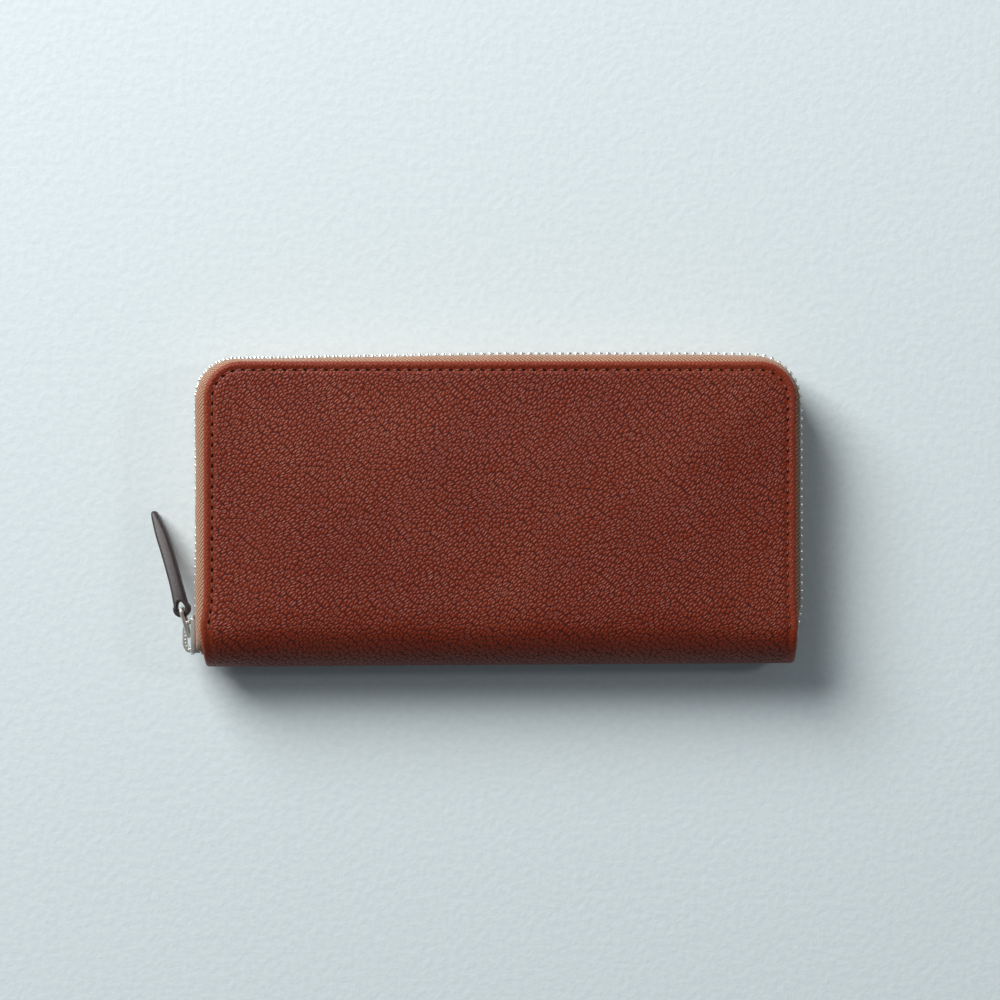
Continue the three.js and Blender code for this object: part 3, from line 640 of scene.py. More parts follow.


# %% [markdown]
# ## The seam
#
# A lockstitch shows as short lengths of thread that dive into the leather at both ends, where the
# needle has left small dark holes. A stitch is one thread with round ends, thickest at its middle,
# and it lies a little askew to the seam. The holes are shallow dark marks of their own, painted shade
# that stands in for each hole's hollow, because the leather's mesh is too coarse to hold them.

# %% One stitch and one needle hole
STITCH_PITCH = 3.35
STITCH_LENGTH = 1.95
STITCH_RADIUS = 0.3


def stitch_mesh(name, length, radius, slant=0.14, sides=8, rings=7):
    """A thread along X that arches up in the middle and dips at both ends."""
    edit = bmesh.new()
    loops = []
    for k in range(rings):
        t = k / (rings - 1) * 2 - 1
        size = radius * (0.35 + 0.65 * math.sqrt(max(1 - t**4, 0)))
        arch = radius * 0.7 * (1 - t * t) - radius * 0.5
        centre = Vector((t * length / 2, slant * t * length / 2, arch))
        angles = (2 * math.pi * j / sides for j in range(sides))
        ring = [Vector((0, size * math.cos(a), size * 0.75 * math.sin(a))) for a in angles]
        loops.append([edit.verts.new((centre + p) * METRE) for p in ring])
    skin_loops(edit, loops)
    return finished_mesh(name, edit)


def bead_mesh(name, size_x, size_y, size_z, segments=10, rings=6):
    """A small ellipsoid, used for needle holes and for beading."""
    edit = bmesh.new()
    bmesh.ops.create_uvsphere(edit, u_segments=segments, v_segments=rings, radius=METRE)
    bmesh.ops.scale(edit, vec=(size_x, size_y, size_z), verts=edit.verts)
    return finished_mesh(name, edit, outwards=False)


def facing(piece, side):
    """A piece made to lie on a face that looks up, or a copy turned over for one that looks down."""
    if side == FRONT:
        return piece
    turned_over = piece.copy()
    turned_over.transform(Matrix.Rotation(math.pi, 4, "X"))
    return turned_over


seam_stitch = stitch_mesh("seam_stitch", STITCH_LENGTH, STITCH_RADIUS)
needle_hole = bead_mesh("needle_hole", 0.86, 0.4, 0.27)
needle_hole.transform(Matrix.Rotation(-0.22, 4, "Z"))


# %% Sew the covers
def edge_line(inset, low_y, height, side, step=1.0):
    """A line along a cover's edge: up the left side, along the top and down the right side."""
    radius = CORNER - inset
    x, y = HALF_WIDTH - inset, TOP_Y - inset
    rise = np.arange(low_y, y - radius, step)
    left = [(-x, v) for v in rise]
    turn = np.linspace(math.pi, math.pi / 2, 12)
    left += [(-x + radius + radius * math.cos(a), y - radius + radius * math.sin(a)) for a in turn]
    right = [(-px, py) for px, py in left[::-1]]
    return [(float(flared(px, py)), py, MID_Z + side * height) for px, py in left + right]


def trimmed(line, length):
    """A line of points with a length taken off its start."""
    points = [Vector(p) for p in line]
    while (step := (points[1] - points[0]).length) < length:
        length -= step
        points.pop(0)
    points[0] += (points[1] - points[0]).normalized() * length
    return points


SEAM_LOW_Y = ROLL_Y - 0.5
SEAM_HEIGHT = ROLL_RADIUS - SEAM_DIP
for side, name in ((FRONT, "front"), (BACK, "back")):
    body = name + "_half"
    line = edge_line(SEAM_INSET, SEAM_LOW_Y, SEAM_HEIGHT - 0.02, side)
    stitch = facing(seam_stitch, side)
    mesh = repeat_along(name + "_stitches", [line], stitch, STITCH_PITCH, thread_finish, 0.05, seed=3)
    put_in_scene(name + "_stitches", mesh, None, body, [name + "_stitching"])
    between = trimmed(line, STITCH_PITCH / 2)
    holes_name = name + "_needle_holes"
    mesh = repeat_along(holes_name, [between], needle_hole, STITCH_PITCH, hole_shade_finish, 0.15, seed=5)
    put_in_scene(holes_name, mesh, None, body)
    print(name, "seam:", len(mesh.polygons), "faces of holes")

# %% [markdown]
# ## The zip's path
#
# The teeth run up the left side, along the top and down the right side, outside the covers' edges.
# One function gives the point at any distance along that line, with the direction that faces out of
# the wallet there. The tapes, the teeth and their cords are all built on it.


# %% A point on the zip's path
ZIP_SIDE = ZIP_TOP - ZIP_CORNER - ROLL_Y
ZIP_TURN = ZIP_CORNER * math.pi / 2
ZIP_ACROSS = ZIP_RIGHT - ZIP_LEFT - 2 * ZIP_CORNER
ZIP_LENGTH = 2 * ZIP_SIDE + 2 * ZIP_TURN + ZIP_ACROSS


def zip_point(s):
    """The point at distance s from the left end, and the outward direction. Either end may run on."""
    if s <= ZIP_SIDE:
        return (ZIP_LEFT, ROLL_Y + s), (-1.0, 0.0)
    s -= ZIP_SIDE
    for centre_x, start in ((ZIP_LEFT + ZIP_CORNER, math.pi), (ZIP_RIGHT - ZIP_CORNER, math.pi / 2)):
        if s <= ZIP_TURN:
            angle = start - s / ZIP_CORNER
            out = (math.cos(angle), math.sin(angle))
            return (centre_x + ZIP_CORNER * out[0], ZIP_TOP - ZIP_CORNER + ZIP_CORNER * out[1]), out
        s -= ZIP_TURN
        if start > 3:
            if s <= ZIP_ACROSS:
                return (ZIP_LEFT + ZIP_CORNER + s, ZIP_TOP), (0.0, 1.0)
            s -= ZIP_ACROSS
    return (ZIP_RIGHT, ZIP_TOP - ZIP_CORNER - s), (1.0, 0.0)


# distance along the zip, and how far inwards the sewn line strays there, in mm
WANDER = (
    (0, 0.0),
    (14, -0.08),
    (27, 0.1),
    (40, 0.12),
    (55, 0.04),
    (69, -0.1),
    (81, 0.15),
    (96, 1.8),
    (110, 1.6),
    (125, 1.3),
    (148, 0.95),
    (161, 0.65),
    (181, 0.35),
    (250, 0.35),
    (262, 0.6),
    (276, 1.2),
    (290, 0.7),
    (354, 0.6),
    (361, 1.6),
    (370, 5.0),
)


def zip_place(s, inward, height, side):
    """A point beside the zip's path: inwards from it, and up or down from the middle plane. A sewn
    zip never follows its line exactly, so the whole tape wanders a little across it."""
    (x, y), out = zip_point(s)
    inward = inward + float(np.interp(s, *zip(*WANDER)))
    return (x - out[0] * inward, y - out[1] * inward, MID_Z + side * height)


print("zip length", round(ZIP_LENGTH, 1), "mm")

# %% [markdown]
# ## The zip tapes
#
# Each tape starts at the teeth in a corded edge, runs flat where the slider passes, and then bulges
# round to the seam, where it is sewn between the leather and the lining. Its section is swept along the
# zip's path as a grid. At the spine the two ends follow the roll and are tucked inside it.

# %% The tapes
TAPE_HALF = 0.25  # half its thickness
TAPE_FLAT = 4.8  # height up to which it runs flat beside the slider
TAPE_LEVEL = 10.6  # height of its sewn edge
TAPE_SEWN = 8.0  # how far inwards the sewn edge reaches
TAPE_IN_ROLL = 8.5  # length tucked into the roll at each end


def tape_section():
    """The tape's middle line from the teeth to its sewn edge, with half its thickness at each point."""
    line = [(0.0, 2.0, 0.3), (0.0, 2.2, 0.46), (0.0, 2.55, 0.5), (0.0, 2.9, 0.44), (0.0, 3.2, TAPE_HALF)]
    line += [(0.0, h, TAPE_HALF) for h in np.linspace(3.6, TAPE_FLAT, 4)]
    bulge = ((0, TAPE_FLAT), (-0.15, 8.4), (0.8, 10.5), (3.7, TAPE_LEVEL))
    start, lift, pull, end = (np.array(p) for p in bulge)
    for t in np.linspace(0, 1, 13)[1:]:
        p = (1 - t) ** 3 * start + 3 * t * (1 - t) ** 2 * lift + 3 * t * t * (1 - t) * pull + t**3 * end
        line.append((p[0], p[1], TAPE_HALF))
    line += [(d, TAPE_LEVEL, TAPE_HALF) for d in np.linspace(4.6, TAPE_SEWN, 4)]
    return np.array(line)


def zip_steps(fine, coarse):
    """Distances along the zip's path: close together on the turns, wider on the straights."""
    straight = [(-TAPE_IN_ROLL, ZIP_SIDE), (ZIP_SIDE + ZIP_TURN, ZIP_SIDE + ZIP_TURN + ZIP_ACROSS)]
    straight.append((ZIP_SIDE + 2 * ZIP_TURN + ZIP_ACROSS, ZIP_LENGTH + TAPE_IN_ROLL))
    turns = [(straight[0][1], straight[1][0]), (straight[1][1], straight[2][0])]
    marks = [np.arange(a, b, coarse) for a, b in straight] + [np.arange(a, b, fine) for a, b in turns]
    return np.append(np.sort(np.concatenate(marks)), ZIP_LENGTH + TAPE_IN_ROLL)


def tape_grid(side):
    line = tape_section()
    along_line = np.gradient(line[:, :2], axis=0)
    along_line /= np.linalg.norm(along_line, axis=1)[:, None]
    normal = np.stack([-along_line[:, 1], along_line[:, 0]], axis=1)
    arc = np.concatenate([[0], np.cumsum(np.linalg.norm(np.diff(line[:, :2], axis=0), axis=1))])
    outer, inner, flat = [], [], []
    for s in zip_steps(1.2, 2.4):
        past = max(-s, s - ZIP_LENGTH, 0)
        ripple = 0.12 * math.sin(s * 0.21) + 0.08 * math.sin(s * 0.53 + 1)
        roll = math.sqrt(TAPE_LEVEL**2 - past**2)
        fit = (roll - TAPE_FLAT) / (TAPE_LEVEL - TAPE_FLAT)
        rows = ([], [])
        for (d, h, half), n in zip(line, normal):
            swell = ripple * smooth((h - TAPE_FLAT) / 3) * smooth((3.4 - d) / 3)
            drawn_in = 1.6 * smooth((s - ZIP_LENGTH + ZIP_SIDE + 12) / 12) * smooth((h - 3) / 1.6)
            for row, way in zip(rows, (1, -1)):
                inward, height = d + way * half * n[0] - swell + drawn_in, h + way * half * n[1]
                height = TAPE_FLAT + (height - TAPE_FLAT) * fit if height > TAPE_FLAT else height
                row.append(zip_place(s, inward, height, side))
        outer.append(rows[0])
        inner.append(rows[1])
        flat.append([(s, a) for a in arc])
    return np.array(outer), np.array(inner), np.array(flat)


for side, name in ((FRONT, "front"), (BACK, "back")):
    mesh = sheet_mesh("zip_tape_" + name + "_cloth", *tape_grid(side))
    tape = put_in_scene("zip_tape_" + name + "_cloth", mesh, zip_tape)
    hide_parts("zip_tape_" + name)
    if side == FRONT:
        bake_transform(tape)
    else:
        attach(tape, "back_half")
    print("tape", name, len(mesh.polygons), "faces")

# %% [markdown]
# ## The zip's teeth
#
# A metal tooth is a small clamp. Its two legs are pinched on the tape's corded edge, and its head
# reaches past the middle, where it locks between two teeth of the other row. The rows are half a
# pitch apart. One tooth is built from its outline with bevelled edges and a raised nib on its head, and
# the tree repeats it along the zip's path.

# %% One tooth
TOOTH_PITCH = 2.54
TOOTH_OUTLINE = [
    (0.3, -0.82),
    (0.54, -0.5),
    (0.54, 0.55),
    (0.42, 0.95),
    (0.46, 1.7),
    (0.6, 2.15),
    (0.6, 2.75),
    (0.4, 2.95),
]


def tooth_mesh(name, side, half_thick=TOOTH_HALF_THICK, scale=1.0):
    """A tooth with X along the zip, Y across its thickness and Z from the middle to the tape."""
    half = [(x * scale, z * scale * side) for x, z in TOOTH_OUTLINE]
    outline = half + [(-x, z) for x, z in half[::-1]]
    edit = bmesh.new()
    low = [edit.verts.new(Vector((x, -half_thick, z)) * METRE) for x, z in outline]
    high = [edit.verts.new(Vector((x, half_thick, z)) * METRE) for x, z in outline]
    edit.faces.new(low)
    edit.faces.new(high)
    for k in range(len(outline)):
        after = (k + 1) % len(outline)
        edit.faces.new((low[k], low[after], high[after], high[k]))
    bmesh.ops.recalc_face_normals(edit, faces=edit.faces)
    rims = [e for e in edit.edges if abs(e.verts[0].co.y - e.verts[1].co.y) < 1e-9]
    bmesh.ops.bevel(edit, geom=rims, offset=0.16 * scale * METRE, segments=1, affect="EDGES")
    nib = bmesh.ops.create_uvsphere(edit, u_segments=6, v_segments=4, radius=METRE)["verts"]
    bmesh.ops.scale(edit, vec=(0.3 * scale, half_thick + 0.12, 0.34 * scale), verts=nib)
    bmesh.ops.translate(edit, vec=Vector((0, 0, -0.12 * side * scale)) * METRE, verts=nib)
    return finished_mesh(name, edit, outwards=False)


def zip_line(first, last, step=0.6):
    """The teeth's own line. Past the slider's run they stand a little proud of the tape."""
    run = 70
    return [zip_place(s, -0.4 * smooth((s - run) / 12), 0, FRONT) for s in np.arange(first, last, step)]


# %% The rows of teeth
FIRST_TOOTH = box_mm("slider_body")[0][1] - ROLL_Y + 5.5
for side, name in ((FRONT, "front"), (BACK, "back")):
    start = FIRST_TOOTH + (TOOTH_PITCH / 2 if side == BACK else 0)
    line = zip_line(start, ZIP_LENGTH - 0.6)
    teeth_name = "zip_teeth_" + name + "_row"
    mesh = repeat_along(teeth_name, [line], tooth_mesh("tooth", side), TOOTH_PITCH, nickel)
    teeth = put_in_scene(teeth_name, mesh, None)
    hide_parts("zip_teeth_" + name)
    if side == FRONT:
        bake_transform(teeth)
    else:
        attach(teeth, "back_half")
    print(name, "row:", len(mesh.polygons), "faces")

# %% [markdown]
# ## Small metal parts
#
# The slider, its bridge and the stops are cast or stamped parts with soft edges. Their shapes already
# exist in the frame as plain solids with sharp edges. A copy of each gets its edges rounded by a
# Bevel modifier, which is what tumbling and plating do to the real ones.


# %% Rounded copies of the frame's metal parts
def rounded_copy(node_name, width, segments=3, angle=30.0):
    """A copy of a frame node's mesh with its sharp edges rounded. The width is in millimetres."""
    mesh = frame["nodes"][node_name].data.copy()
    edit = bmesh.new()
    edit.from_mesh(mesh)
    bmesh.ops.remove_doubles(edit, verts=edit.verts, dist=1e-6)
    bmesh.ops.dissolve_limit(edit, angle_limit=math.radians(2), verts=edit.verts, edges=edit.edges)
    edit.to_mesh(mesh)
    edit.free()
    shell = bpy.data.objects.new("shell", mesh)
    bpy.context.scene.collection.objects.link(shell)
    bevel = shell.modifiers.new("round_edges", "BEVEL")
    bevel.width = width * METRE
    bevel.segments = segments
    bevel.limit_method = "ANGLE"
    bevel.angle_limit = math.radians(angle)
    bevel.harden_normals = False
    made = mesh_of(shell)
    bpy.data.objects.remove(shell)
    made.shade_smooth()
    made.set_sharp_from_angle(angle=math.radians(50))
    return made


def round_off(node_name, name, body, material, width):
    mesh = rounded_copy(node_name, width)
    mesh.name = name
    made = put_in_scene(name, mesh, material, body, [node_name])
    print(name, len(mesh.polygons), "faces")
    return made


round_off("slider_body", "slider_shell", "zip_slider", nickel, 0.22)
stop = round_off("zip_end_stop", "zip_end_stop_block", "back_half", nickel, 0.35)
stop.data.transform(Matrix.Translation(Vector((-1.9, 0, 0)) * METRE))

# %% [markdown]
# ## The bridge and the link
#
# The bridge is a strap that stands on the slider like a handle, with a row of tiny beads along each
# rim. The link is a loop of wire: narrow where it hangs in the bridge, wide where the leather is
# folded round it. Both are sections swept along a smooth line. A curve object could sweep them too,
# but the strap's section isn't round, and its beads have to lie on its rim.


# %% A section swept along a line
UP = Vector((0, 0, 1))


def swept_mesh(name, points, section):
    """Sweep a flat section, given as (sideways, up) in mm, along a line in a level plane."""
    edit = bmesh.new()
    loops = []
    for k, point in enumerate(points):
        before, after = points[max(k - 1, 0)], points[min(k + 1, len(points) - 1)]
        across = (after - before).normalized().cross(UP).normalized()
        loops.append([edit.verts.new((point + across * a + UP * b) * METRE) for a, b in section])
    skin_loops(edit, loops)
    return finished_mesh(name, edit)


def smooth_line(points, steps, closed=False):
    """A Catmull-Rom line through a few points."""
    points = [Vector(p) for p in points]
    count = len(points)
    made = []
    for k in range(count if closed else count - 1):
        places = [(k + j) % count if closed else min(max(k + j, 0), count - 1) for j in (-1, 0, 1, 2)]
        a, b, c, d = (points[place] for place in places)
        for t in (j / steps for j in range(steps)):
            bend, twist = 2 * a - 5 * b + 4 * c - d, 3 * b - a - 3 * c + d
            made.append(0.5 * (2 * b + (c - a) * t + bend * t * t + twist * t**3))
    return made if closed else made + [points[-1]]


def rounded_section(half_a, half_b, radius, steps=4):
    """A rectangle with round corners, as points round its middle."""
    made = []
    for quarter, (a, b) in enumerate(((1, 1), (-1, 1), (-1, -1), (1, -1))):
        centre = (a * (half_a - radius), b * (half_b - radius))
        for k in range(steps):
            angle = math.pi / 2 * (quarter + k / (steps - 1))
            made.append((centre[0] + radius * math.cos(angle), centre[1] + radius * math.sin(angle)))
    return made


# %% The bridge with its beads
bridge_low, bridge_high = box_mm("slider_bridge")
link_joint = next(j for j in frame["joints"] if j["name"] == "link_swing")
pull_joint = next(j for j in frame["joints"] if j["name"] == "pull_swing")
LINK_BAR = np.array(link_joint["pos_m"]) / METRE
EYE = np.array(pull_joint["pos_m"]) / METRE
BRIDGE_HALF = (bridge_high[2] - bridge_low[2]) / 2
STRAP_HALF = 0.75
foot_x = bridge_high[0] + 0.05
crest_x = bridge_low[0] + STRAP_HALF
bridge_points = [
    (foot_x, bridge_high[1] - 0.6, MID_Z),
    (crest_x + 1.1, bridge_high[1] - 0.75, MID_Z),
    (crest_x + 0.15, bridge_high[1] - 2.2, MID_Z),
    (crest_x, LINK_BAR[1] + 0.6, MID_Z),
    (crest_x, LINK_BAR[1] - 1.4, MID_Z),
    (crest_x + 0.2, bridge_low[1] + 2.3, MID_Z),
    (crest_x + 1.1, bridge_low[1] + 0.8, MID_Z),
    (foot_x, bridge_low[1] + 0.6, MID_Z),
]
bridge_line = smooth_line(bridge_points, 8)
strap = swept_mesh("bridge_strap", bridge_line, rounded_section(STRAP_HALF, BRIDGE_HALF, 0.32))
put_in_scene("bridge_strap", strap, nickel, "zip_slider", ["slider_bridge"])
bead = bead_mesh("rim_bead", 0.28, 0.28, 0.24, segments=10, rings=6)
rims = [[p + Vector((0.3, 0, way * BRIDGE_HALF)) for p in bridge_line] for way in (1, -1)]
beading = repeat_along("bridge_beading", rims, bead, 1.05, nickel)
put_in_scene("bridge_beading", beading, None, "zip_slider")
print("bridge beads:", len(beading.polygons), "faces")

# %% The link
LINK_WIRE = 0.62
link_low, link_high = box_mm("pull_link")
wide = (link_high[2] - link_low[2]) / 2 - LINK_WIRE
narrow = BRIDGE_HALF + 1.0
reach = Vector(EYE - LINK_BAR)
loop = [(0, narrow - 0.95), (0.05, narrow - 0.3), (0.16, narrow + 0.25), (0.5, (narrow + wide) / 2 + 0.15)]
loop += [(0.86, wide - 0.05), (0.97, wide - 0.45), (1.0, wide - 1.3)]
loop = loop + [(u, -w) for u, w in loop[::-1]]
link_points = [Vector(LINK_BAR) + reach * u + UP * w for u, w in loop]


def swept_wire(name, points, radius, sides=12):
    """A closed flat loop of round wire, with its section turned along the line."""
    third = len(points) // 3
    flat_side = (points[third] - points[0]).cross(points[2 * third] - points[0]).normalized()
    edit = bmesh.new()
    loops = []
    for k, point in enumerate(points):
        ahead = (points[(k + 1) % len(points)] - points[k - 1]).normalized()
        across = ahead.cross(flat_side).normalized()
        angles = (2 * math.pi * j / sides for j in range(sides))
        ring = [(across * math.cos(a) + flat_side * math.sin(a)) * radius for a in angles]
        loops.append([edit.verts.new((point + p) * METRE) for p in ring])
    skin_loops(edit, loops, closed=True)
    return finished_mesh(name, edit)


link_mesh = swept_wire("link_wire", smooth_line(link_points, 6, closed=True), LINK_WIRE)
put_in_scene("link_wire", link_mesh, nickel, "pull_link", ["pull_link"])
print("link:", len(link_mesh.polygons), "faces")

# %% [markdown]
# ## The leather pull
#
# The pull is one strip of leather, folded round the link, glued and pressed together. Its cut edges are
# painted, so the two plies read as one smooth rounded edge, which thins to a pressed tip. A hole is left
# where the fold passes round the wire. A flat curve with a hole, an extrusion and a round bevel makes
# that shape directly. It hangs from the link towards the table, so each point sinks with its
# distance from the eye.

# %% The pull's outline
PULL_LENGTH = 33.6
PULL_HALF_WIDTH = 3.5
PULL_LEAN = math.radians(13.2)
PULL_BEND = math.radians(9)
PULL_ROUND = 0.85
PULL_SAG = 8.5
PULL_SIDES = [(4.4, 2.1), (7.4, 1.97), (13.0, 1.95), (19.5, 1.93), (25.5, 1.85), (29.2, 1.5), (31.8, 1.14)]
PULL_TIP = [(32.9, 0.85), (33.45, 0.42), (33.6, 0.0)]
BULB = 2.75
HOLE = 1.3  # the hole at the fold, drawn out towards the tip


def pull_place(u, v):
    """A point of the pull: u along its curved middle line from the eye, v to its outer side."""
    angle = PULL_BEND * max(u, 0) / PULL_LENGTH
    radius = PULL_LENGTH / PULL_BEND
    x, y = (-radius * (1 - math.cos(angle)), radius * math.sin(angle)) if u > 0 else (0.0, u)
    x, y = x - v * math.cos(angle), y - v * math.sin(angle)
    cos, sin = math.cos(PULL_LEAN), math.sin(PULL_LEAN)
    return Vector((EYE[0] + x * cos - y * sin, EYE[1] + x * sin + y * cos, 0))


def flat_shape(name, outlines, half_depth, bevel):
    """A flat shape with holes, given as outlines in mm, thickened both ways with round edges."""
    curve = bpy.data.curves.new(name, "CURVE")
    curve.dimensions = "2D"
    curve.fill_mode = "BOTH"
    for outline in outlines:
        spline = curve.splines.new("POLY")
        spline.points.add(len(outline) - 1)
        for point, place in zip(spline.points, outline):
            point.co = (place[0] * METRE, place[1] * METRE, 0, 1)
        spline.use_cyclic_u = True
    curve.extrude = (half_depth - bevel) * METRE
    curve.bevel_depth = bevel * METRE
    curve.bevel_resolution = 3
    curve.offset = -bevel * METRE
    carrier = bpy.data.objects.new(name, curve)
    bpy.context.scene.collection.objects.link(carrier)
    mesh = mesh_of(carrier)
    bpy.data.objects.remove(carrier)
    face_outwards(mesh)
    return mesh


bulb_angles = np.linspace(math.pi * 0.8, math.pi * 2.2, 15)
half_outline = PULL_SIDES + PULL_TIP
outline = [(BULB * math.sin(a), BULB * math.cos(a)) for a in bulb_angles]
outline += half_outline + [(u, -v) for u, v in half_outline[-2::-1]]
round_hole = [(-HOLE * math.cos(a), HOLE * math.sin(a)) for a in np.linspace(0, 2 * math.pi, 17)[:-1]]
hole = [(u * 1.9 if u > 0 else u, v) for u, v in round_hole]
lines = ([pull_place(u, v) for u, v in line] for line in (outline, hole))
outlines = [smooth_line(line, 4, closed=True) for line in lines]
mesh = flat_shape("pull_strap", outlines, PULL_HALF_WIDTH, PULL_ROUND)
for vertex in mesh.vertices:
    away = (vertex.co - Vector((EYE[0], EYE[1], 0)) * METRE).to_2d().length / METRE
    vertex.co.z += (MID_Z - PULL_SAG * (max(away - 2, 0) / (PULL_LENGTH - 2)) ** 1.1) * METRE
mesh.materials.clear()
pull = put_in_scene("pull_strap", mesh, pull_leather, "leather_pull", ["leather_pull"])
mesh.materials.append(edge_paint)
mesh.polygons.foreach_set("material_index", [int(abs(face.normal.z) > 0.45) for face in mesh.polygons])
mesh.shade_smooth()
mesh.set_sharp_from_angle(angle=math.radians(40))
print("pull:", len(mesh.polygons), "faces")

# %% [markdown]
# ## Linings, card panels and card slots
#
# Inside, each cover has a cloth lining, and a card panel on it that carries four card slots. The
# slots lie like roof tiles: the mouth of each covers the foot of the next one. Each is a strip with a
# turned and stitched mouth. A flat sheet helper lays any of these out from its corners and rounds its
# edges.


# %% Flat sheets of the inside
def panel_grid(x_half, y_low, y_high, height_low, height_high, thick, side, corner=1.0, hem=0.0):
    """A sheet between two Y values, whose height changes evenly between them. Its shown face looks to
    the middle plane, and a hem thickens its high edge."""
    spacing = 4.0
    steps = (0, 0.12, 0.35, 0.7, 1.1, 1.6, 2.2, 3.0)
    ys = hollow_steps(y_high - y_low, steps, spacing)
    if corner > 2:
        arc = corner * (1 - np.cos(np.linspace(0, math.pi / 2, 9)))
        ys = np.unique(np.concatenate([ys, (y_high - y_low) - arc]))
    shown, hidden, flat = [], [], []
    for y in ys:
        top = y_high - y_low - y
        fall = max(corner - top, 0)
        half = x_half - corner + math.sqrt(corner**2 - fall**2)
        xs = (hollow_steps(2 * x_half, steps, spacing) - x_half) * half / x_half
        share = y / (y_high - y_low)
        level = height_low + (height_high - height_low) * share
        rows = ([], [], [])
        for x in xs:
            near = np.clip(min(half - abs(x), top, y) / 0.35, 0, 1)
            soft = min(thick / 2, 0.35) * (1 - math.sqrt(1 - (1 - near) ** 2))
            fold = hem * smooth((1.7 - top) / 0.5) if hem else 0.0
            rows[0].append((x, y_low + y, MID_Z + side * (level + soft - fold)))
            rows[1].append((x, y_low + y, MID_Z + side * (level + thick - soft)))
            rows[2].append((x, y))
        shown.append(rows[0])
        hidden.append(rows[1])
        flat.append(rows[2])
    return np.array(shown), np.array(hidden), np.array(flat)


def heights(node_name, side):
    """A node's lowest and highest distance from the middle plane, and its box."""
    low, high = box_mm(node_name)
    pair = sorted((side * (low[2] - MID_Z), side * (high[2] - MID_Z)))
    return pair[0], pair[1], low, high


def flat_piece(node_name, name, body, side, material, slot, **shape):
    near, far, low, high = heights(node_name, side)
    grid = panel_grid(high[0], low[1], high[1], near, near, far - near, side, **shape)
    mesh = sheet_mesh(name, *grid)
    return put_in_scene(name, mesh, material, body, [node_name])


# %% The linings, card panels and slots of both halves
SLOT_THICK = 0.5
small_stitch = stitch_mesh("small_stitch", 1.7, 0.17, slant=0.1, sides=6, rings=5)
for side, name in ((FRONT, "front"), (BACK, "back")):
    body = name + "_half"
    common = (body, side, lining_cloth, "lining")
    flat_piece(name + "_lining", name + "_lining_cloth", *common, corner=CORNER - 1.5)
    flat_piece(name + "_card_panel", name + "_card_backing", *common)
    rows = []
    for k in (1, 2, 3, 4):
        node_name = name + "_card_slot_" + str(k)
        near, far, low, high = heights(node_name, side)
        grid = panel_grid(high[0], low[1], high[1], far - SLOT_THICK, near, SLOT_THICK, side, hem=0.16)
        mesh = sheet_mesh(node_name + "_leather", *grid)
        put_in_scene(node_name + "_leather", mesh, inner_leather, body, [node_name])
        rise = (far - SLOT_THICK - near) / (high[1] - low[1])
        hem_z = MID_Z + side * (near + rise * 2.1 + 0.02)
        rows.append([(x, high[1] - 2.1, hem_z) for x in np.linspace(3 - high[0], high[0] - 3, 90)])
        reach = min(high[1] - low[1], 12.0 if k > 1 else 30.0)
        for x in (0.0, -high[0] + 1.6, high[0] - 1.6):
            ys = np.linspace(high[1] - reach + 0.8, high[1] - 0.8, 12)
            rows.append([(x, y, MID_Z + side * (near + rise * (high[1] - y) - 0.02)) for y in ys])
    stitch = facing(small_stitch, -side)
    mesh = repeat_along(name + "_slot_stitches", rows, stitch, 2.4, thread_finish, 0.04, seed=11)
    put_in_scene(name + "_slot_stitches", mesh, None, body)
    line = edge_line(SEAM_INSET, SEAM_LOW_Y + 1, heights(name + "_lining", side)[0] + 0.06, side)
    stitch = facing(seam_stitch, -side)
    inner_name = name + "_inner_stitches"
    mesh = repeat_along(inner_name, [line], stitch, STITCH_PITCH, thread_finish, 0.05, seed=13)
    put_in_scene(inner_name, mesh, None, body)
    board = frame["nodes"][name + "_board"].data
    board.materials.clear()
    board.materials.append(board_finish)
    print(name, "card slots and lining done")

# %% [markdown]
# ## The spine's lining and the gussets
#
# The lining runs on round the inside of the spine. At each side a gusset joins the two card panels: a
# leather sheet folded in towards the middle, which fans out as the covers open. Both are bent sheets;
# the lining is laid round the same centre line as the leather.

# %% The spine's lining
lining_low, lining_high = box_mm("spine_lining")
LINING_OUT = (lining_high[2] - lining_low[2]) / 2
LINING_THICK = 0.7
turn = np.linspace(0.012, math.pi - 0.012, 40)
xs = hollow_steps(2 * lining_high[0], (0, 0.2, 0.6, 1.2, 2.5), 6.0) - lining_high[0]
grid = [[], [], []]
for a in turn:
    for rows, r in zip(grid[:2], (LINING_OUT, LINING_OUT - LINING_THICK)):
        rows.append([(x, ROLL_Y - r * math.sin(a), MID_Z + r * math.cos(a)) for x in xs])
    grid[2].append([(x, a * LINING_OUT) for x in xs])
mesh = sheet_mesh("spine_lining_cloth", *(np.array(g) for g in grid))
cloth = put_in_scene("spine_lining_cloth", mesh, lining_cloth)
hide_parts("spine_lining")
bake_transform(cloth)
print("spine lining:", len(mesh.polygons), "faces")

